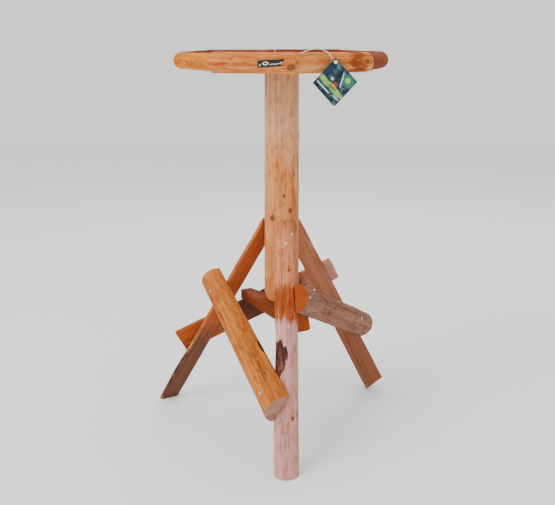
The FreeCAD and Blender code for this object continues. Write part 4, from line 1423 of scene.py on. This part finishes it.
@dataclass
class Trim:
    """Label plate, standing nail and staple on the rim."""

    label_middle: tuple[float, float, float] = (-0.0012, -0.2097, 0.9745)
    label_size: tuple[float, float, float] = (0.064, 0.0155, 0.0010)
    label_azimuth: float = -16.2
    label_tilt: float = 4.5

    def build(self) -> None:
        """Make the label and dress the nail and the staple."""
        self.make_label()
        steel = Zinc("old_wire", 0.45).material()
        for node in ("rim_nail", "tag_staple"):
            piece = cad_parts[node]
            piece.data.materials.clear()
            piece.data.materials.append(steel)

    def make_label(self) -> None:
        """Black plate with rounded corners and a raised border."""
        wide, high, thick = self.label_size
        bpy.ops.object.select_all(action="DESELECT")
        bpy.ops.mesh.primitive_cube_add(size=1.0, location=(0.0, 0.0, thick / 2), scale=(wide, high, thick))
        piece = Bench.take("label_plate_black")
        Bench.settle(piece)
        bpy.ops.object.mode_set(mode="EDIT")
        Bench.pick(piece, "EDGE", lambda edge: abs(edge.verts[0].co.z - edge.verts[1].co.z) > thick / 2)
        bpy.ops.mesh.bevel(offset=0.0016, segments=4)
        Bench.pick(piece, "FACE", lambda face: face.normal.z > 0.9)
        bpy.ops.mesh.inset(thickness=0.0007)
        bpy.ops.mesh.inset(thickness=0.0002, depth=-0.0002)
        bpy.ops.object.mode_set(mode="OBJECT")
        out = toward(self.label_azimuth)
        side = sideways(self.label_azimuth)
        turn = Matrix((side, UP, out)).transposed().to_4x4()
        place = Matrix.Translation(Vector(self.label_middle)) @ turn
        place = place @ Matrix.Rotation(math.radians(self.label_tilt), 4, "Z")
        piece.matrix_world = place
        Bench.settle(piece)
        Bench.soften(piece, 0.00015, 40.0)
        piece.data.materials.append(self.label_paint(place))
        Bench.hand_over(piece, "label_plate", "table", "label_plastic")

    @staticmethod
    def label_paint(place: Matrix) -> bpy.types.Material:
        """Black with a plain pale emblem: two ovals and a wavy bar."""
        paint = Shading("label_black")
        at = paint.place(place)
        speck = paint.speckle(at, (700, 700, 700), 3.0)
        colour = paint.tones(speck, [(0.3, (0.006, 0.006, 0.006)), (0.7, (0.022, 0.021, 0.02))])
        pale = (0.62, 0.64, 0.58)
        for spot, reach in (((-0.0130, 0.0006, 0), (0.0082, 0.0042, 1)),
                            ((-0.0265, -0.0022, 0), (0.0024, 0.0026, 1)),
                            ((0.0255, -0.0012, 0), (0.0030, 0.0030, 1))):
            away = paint.distance(at, spot, reach)
            mask = paint.sums("MULTIPLY", paint.smooth(away, 1.0, 0.86), paint.smooth(away, 0.42, 0.56))
            colour = paint.blend(mask, colour, pale)
        parts = paint.node("ShaderNodeSeparateXYZ")
        paint.join(at, parts.inputs[0])
        wave = paint.sums("MULTIPLY", paint.sums("SINE", paint.sums("MULTIPLY", parts.outputs[0], 420.0)),
                          0.0006)
        line = paint.sums("ABSOLUTE", paint.sums("SUBTRACT", paint.sums("ADD", parts.outputs[1], 0.0022),
                                                 wave))
        bar = paint.sums("MULTIPLY", paint.smooth(line, 0.0011, 0.0007),
                         paint.smooth(paint.distance(at, (0.009, -0.002, 0.0), (0.0125, 0.05, 1.0)), 1.0,
                                      0.95))
        colour = paint.blend(bar, colour, (0.50, 0.56, 0.46))
        paint.join(colour, paint.shader.inputs["Base Color"])
        paint.join(paint.sums("MULTIPLY_ADD", speck, 0.3, 0.35), paint.shader.inputs["Roughness"])
        paint.shader.inputs["Specular IOR Level"].default_value = PRINT_SHINE
        paint.relief(speck, 0.00004)
        return paint.material


@dataclass
class HangTag:
    """Square card tag, folded in two leaves and hung by a corner on a plastic fastener."""

    hole: tuple[float, float, float] = (0.1468, -0.1923, 0.9769)
    azimuth: float = 19.0
    side: float = 0.0772
    drop: float = 0.009
    leaf: float = 0.0005
    hole_radius: float = 0.0025

    def place(self) -> Matrix:
        """The tag's frame: its hole at the origin, X to the right, Y up and Z outwards."""
        turn = Matrix((sideways(self.azimuth), UP, toward(self.azimuth))).transposed().to_4x4()
        return Matrix.Translation(Vector(self.hole)) @ turn

    def build(self) -> list[bpy.types.Object]:
        """Make the tag and its fastener, and return the fastener, which is on the cord."""
        self.make_tag()
        return [self.make_fastener()]

    def make_leaf(self, depth: float, splay: float) -> bpy.types.Object:
        """One leaf of the card.

        Args:
            depth: How far it lies in front of the hole's middle.
            splay: How far it strays back and to the left, as a share of the side, more so further down.

        Returns:
            The leaf, in the tag's frame.
        """
        middle = self.drop - self.side / math.sqrt(2)
        bpy.ops.object.select_all(action="DESELECT")
        bpy.ops.mesh.primitive_cube_add(size=1.0, location=(0.0, middle, depth),
                                        rotation=(0.0, 0.0, math.radians(45)),
                                        scale=(self.side, self.side, self.leaf))
        piece = Bench.take("card_leaf")
        Bench.settle(piece)
        bpy.ops.object.mode_set(mode="EDIT")
        Bench.pick(piece, "EDGE", lambda edge: abs(edge.verts[0].co.z - edge.verts[1].co.z) > self.leaf / 2)
        bpy.ops.mesh.bevel(offset=0.0012, segments=4)
        bpy.ops.object.mode_set(mode="OBJECT")
        bpy.ops.object.select_all(action="DESELECT")
        bpy.ops.mesh.primitive_cylinder_add(vertices=32, radius=self.hole_radius, depth=0.02,
                                            location=(0, 0, 0))
        punch = Bench.take("card_punch")
        Bench.finish(piece, "BOOLEAN", operation="DIFFERENCE", object=punch, solver="EXACT")
        bpy.data.objects.remove(punch)
        Bench.alone(piece)
        bpy.ops.object.mode_set(mode="EDIT")
        for step in range(1, 12):
            bpy.ops.mesh.select_all(action="SELECT")
            level = self.drop - step * 0.0092
            bpy.ops.mesh.bisect(plane_co=(0.0, level, 0.0), plane_no=(0.0, 1.0, 0.0))
        bpy.ops.mesh.select_all(action="DESELECT")
        bpy.ops.object.mode_set(mode="OBJECT")
        bow, joined, stray = 0.0016, 0.12, 0.9
        for vertex in piece.data.vertices:
            down = (self.drop - vertex.co.y) / (self.side * math.sqrt(2))
            below = max(0.0, down - joined)
            vertex.co.z += bow * math.sin(math.pi * down) + splay * self.side * below ** 1.5
            vertex.co.x -= abs(splay) * stray * self.side * below
        return piece

    def make_tag(self) -> bpy.types.Object:
        """Both leaves as one printed card."""
        front = self.make_leaf(0.0001 + self.leaf / 2, 0.0)
        back = self.make_leaf(-0.0001 - self.leaf / 2, -0.045)
        bpy.ops.object.select_all(action="DESELECT")
        back.select_set(True)
        front.select_set(True)
        bpy.context.view_layer.objects.active = front
        bpy.ops.object.join()
        piece = Bench.take("printed_tag")
        place = self.place()
        piece.matrix_world = place
        Bench.settle(piece)
        Bench.alone(piece)
        bpy.ops.object.shade_smooth_by_angle(angle=math.radians(30))
        piece.data.materials.append(self.print_paint(place))
        return Bench.hand_over(piece, "hang_tag", "tag", "tag_card")

    def print_paint(self, place: Matrix) -> bpy.types.Material:
        """Dark blue-green print with a lime band, a pale bar and a few plain patches."""
        paint = Shading("tag_print")
        lower_left = Matrix.Translation((-self.side / math.sqrt(2), self.drop - self.side / math.sqrt(2),
                                         0.0))
        at = paint.place(place @ lower_left @ Matrix.Rotation(math.radians(-45), 4, "Z"))
        split = paint.node("ShaderNodeSeparateXYZ")
        paint.join(at, split.inputs[0])
        along, above, front = split.outputs
        cloud = paint.speckle(at, (70, 70, 70), 5.0, 2.0)
        colour = paint.tones(cloud, [(0.34, (0.003, 0.008, 0.014)), (0.47, (0.008, 0.026, 0.045)),
                                     (0.56, (0.018, 0.060, 0.055)), (0.68, (0.10, 0.20, 0.24))])
        rough_edge = paint.sums("MULTIPLY", paint.sums("SUBTRACT", cloud, 0.5), 0.012)
        wavy = paint.sums("ADD", above, rough_edge)
        patches = (
            ((0.004, 0.046), (0.012, 0.012), (0.010, 0.028, 0.085), 0.8),
            ((0.060, 0.061), (0.017, 0.015), (0.035, 0.20, 0.10), 0.9),
            ((0.059, 0.062), (0.0075, 0.007), (0.33, 0.60, 0.10), 0.9),
            ((0.063, 0.014), (0.011, 0.004), (0.40, 0.50, 0.56), 0.65),
            ((0.042, 0.034), (0.007, 0.006), (0.30, 0.03, 0.035), 0.95),
            ((0.042, 0.029), (0.006, 0.0032), (0.72, 0.20, 0.13), 0.95),
            ((0.027, 0.039), (0.0042, 0.0042), (0.72, 0.78, 0.86), 0.9),
        )
        band = paint.sums("MULTIPLY", paint.smooth(wavy, 0.017, 0.0195), paint.smooth(wavy, 0.031, 0.0285))
        lime = paint.tones(paint.speckle(at, (40, 300, 40), 3.0),
                           [(0.38, (0.03, 0.13, 0.03)), (0.58, (0.34, 0.60, 0.12))])
        colour = paint.blend(band, colour, lime)
        for (x, y), (wide, high), tone, strength in patches:
            away = paint.distance(at, (x, y, 0.0), (wide, high, 1.0))
            away = paint.sums("ADD", away, paint.sums("MULTIPLY", paint.sums("SUBTRACT", cloud, 0.5), 1.6))
            mask = paint.sums("MULTIPLY", paint.smooth(away, 1.05, 0.85), strength)
            colour = paint.blend(mask, colour, tone)
        bar = paint.sums("ABSOLUTE", paint.sums("SUBTRACT", above, 0.0098))
        bar = paint.sums("MULTIPLY", paint.smooth(bar, 0.0021, 0.0016),
                         paint.smooth(paint.sums("ABSOLUTE", paint.sums("SUBTRACT", along, 0.0235)), 0.0205,
                                      0.0198))
        dash = paint.sums("SINE", paint.sums("MULTIPLY", along, 1500.0))
        bar = paint.sums("MULTIPLY", bar, paint.smooth(dash, -0.95, -0.3))
        colour = paint.blend(bar, colour, (0.74, 0.80, 0.88))
        slant = paint.sums("ADD", paint.sums("MULTIPLY", along, 0.888), paint.sums("MULTIPLY", above, 0.459))
        streak = paint.sums("ABSOLUTE", paint.sums("SUBTRACT", paint.sums("ADD", slant, rough_edge), 0.0665))
        streak = paint.sums("MULTIPLY", paint.smooth(streak, 0.0022, 0.0014),
                            paint.smooth(paint.sums("ABSOLUTE", paint.sums("SUBTRACT", above, 0.053)), 0.016,
                                         0.014))
        colour = paint.blend(paint.sums("MULTIPLY", streak, 0.85), colour, (0.70, 0.76, 0.84))
        edge = paint.smooth(paint.sums("ABSOLUTE", paint.sums("SUBTRACT", along, self.side / 2)), 0.0368,
                            0.0378)
        colour = paint.blend(paint.sums("MULTIPLY", edge, 0.8), colour, (0.01, 0.014, 0.02))
        behind = paint.smooth(front, -0.0002, -0.0006)
        plain = paint.tones(cloud, [(0.35, (0.035, 0.05, 0.065)), (0.65, (0.11, 0.15, 0.17))])
        colour = paint.blend(behind, colour, plain)
        paint.join(colour, paint.shader.inputs["Base Color"])
        paint.join(paint.sums("MULTIPLY_ADD", cloud, 0.12, 0.34), paint.shader.inputs["Roughness"])
        paint.shader.inputs["Specular IOR Level"].default_value = PRINT_SHINE
        paint.relief(paint.speckle(at, (900, 900, 900), 2.0), 0.00004)
        return paint.material

    def make_fastener(self) -> bpy.types.Object:
        """Pale dished disc in front of the card, its pin, and a ball with a ridge behind."""
        bpy.ops.object.select_all(action="DESELECT")
        bpy.ops.mesh.primitive_cylinder_add(vertices=40, radius=0.0015, depth=0.0030,
                                            location=(0.0, 0.0, -0.0004))
        pin = Bench.take("fastener_pin")
        bpy.ops.object.select_all(action="DESELECT")
        bpy.ops.mesh.primitive_cylinder_add(vertices=48, radius=0.0045, depth=0.0013,
                                            location=(0.0, 0.0, 0.00165))
        disc = Bench.take("fastener_disc")
        Bench.settle(disc)
        bpy.ops.object.mode_set(mode="EDIT")
        Bench.pick(disc, "FACE", lambda face: face.normal.z > 0.9)
        bpy.ops.mesh.inset(thickness=0.0009)
        bpy.ops.mesh.inset(thickness=0.0006, depth=-0.0006)
        bpy.ops.object.mode_set(mode="OBJECT")
        Bench.finish(disc, "BEVEL", width=0.0003, segments=3, limit_method="ANGLE", angle_limit=0.6)
        bpy.ops.object.select_all(action="DESELECT")
        bpy.ops.mesh.primitive_uv_sphere_add(segments=36, ring_count=20, radius=0.0032,
                                             location=(0.0, 0.0, -0.0041))
        ball = Bench.take("fastener_ball")
        Bench.settle(ball)
        bpy.ops.object.mode_set(mode="EDIT")
        Bench.pick(ball, "FACE", lambda face: abs(face.calc_center_median().z + 0.0041) < 0.0003)
        bpy.ops.transform.resize(value=(1.05, 1.05, 1.0), center_override=(0.0, 0.0, -0.0041))
        bpy.ops.object.mode_set(mode="OBJECT")
        bpy.ops.object.select_all(action="DESELECT")
        for piece in (pin, disc, ball):
            piece.select_set(True)
        bpy.context.view_layer.objects.active = disc
        bpy.ops.object.join()
        piece = Bench.take("tag_fastener_plastic")
        piece.matrix_world = self.place() @ piece.matrix_world
        Bench.settle(piece)
        bpy.ops.object.shade_smooth_by_angle(angle=math.radians(40))
        piece.data.materials.clear()
        piece.data.materials.append(Plastic("fastener_plastic", (0.80, 0.80, 0.78), 0.3, 0.2).material())
        return Bench.hand_over(piece, "tag_fastener", "fastener", "cord_plastic")


class BirdTable:
    """The whole bird table."""

    def build(self) -> None:
        """Build the cord with its tag, then the woodwork, the tray, the screws and the trim."""
        tag = HangTag().build()
        LoopCord().build(tag)
        Stand().build()
        Tray().build()
        Screws().build()
        Trim().build()


def main() -> None:
    """Build the whole table, piece by piece."""
    logging.basicConfig(level=logging.INFO, format="%(name)s: %(message)s")
    Studio().build()
    table = BirdTable()
    table.build()


if __name__ == "__main__":
    main()
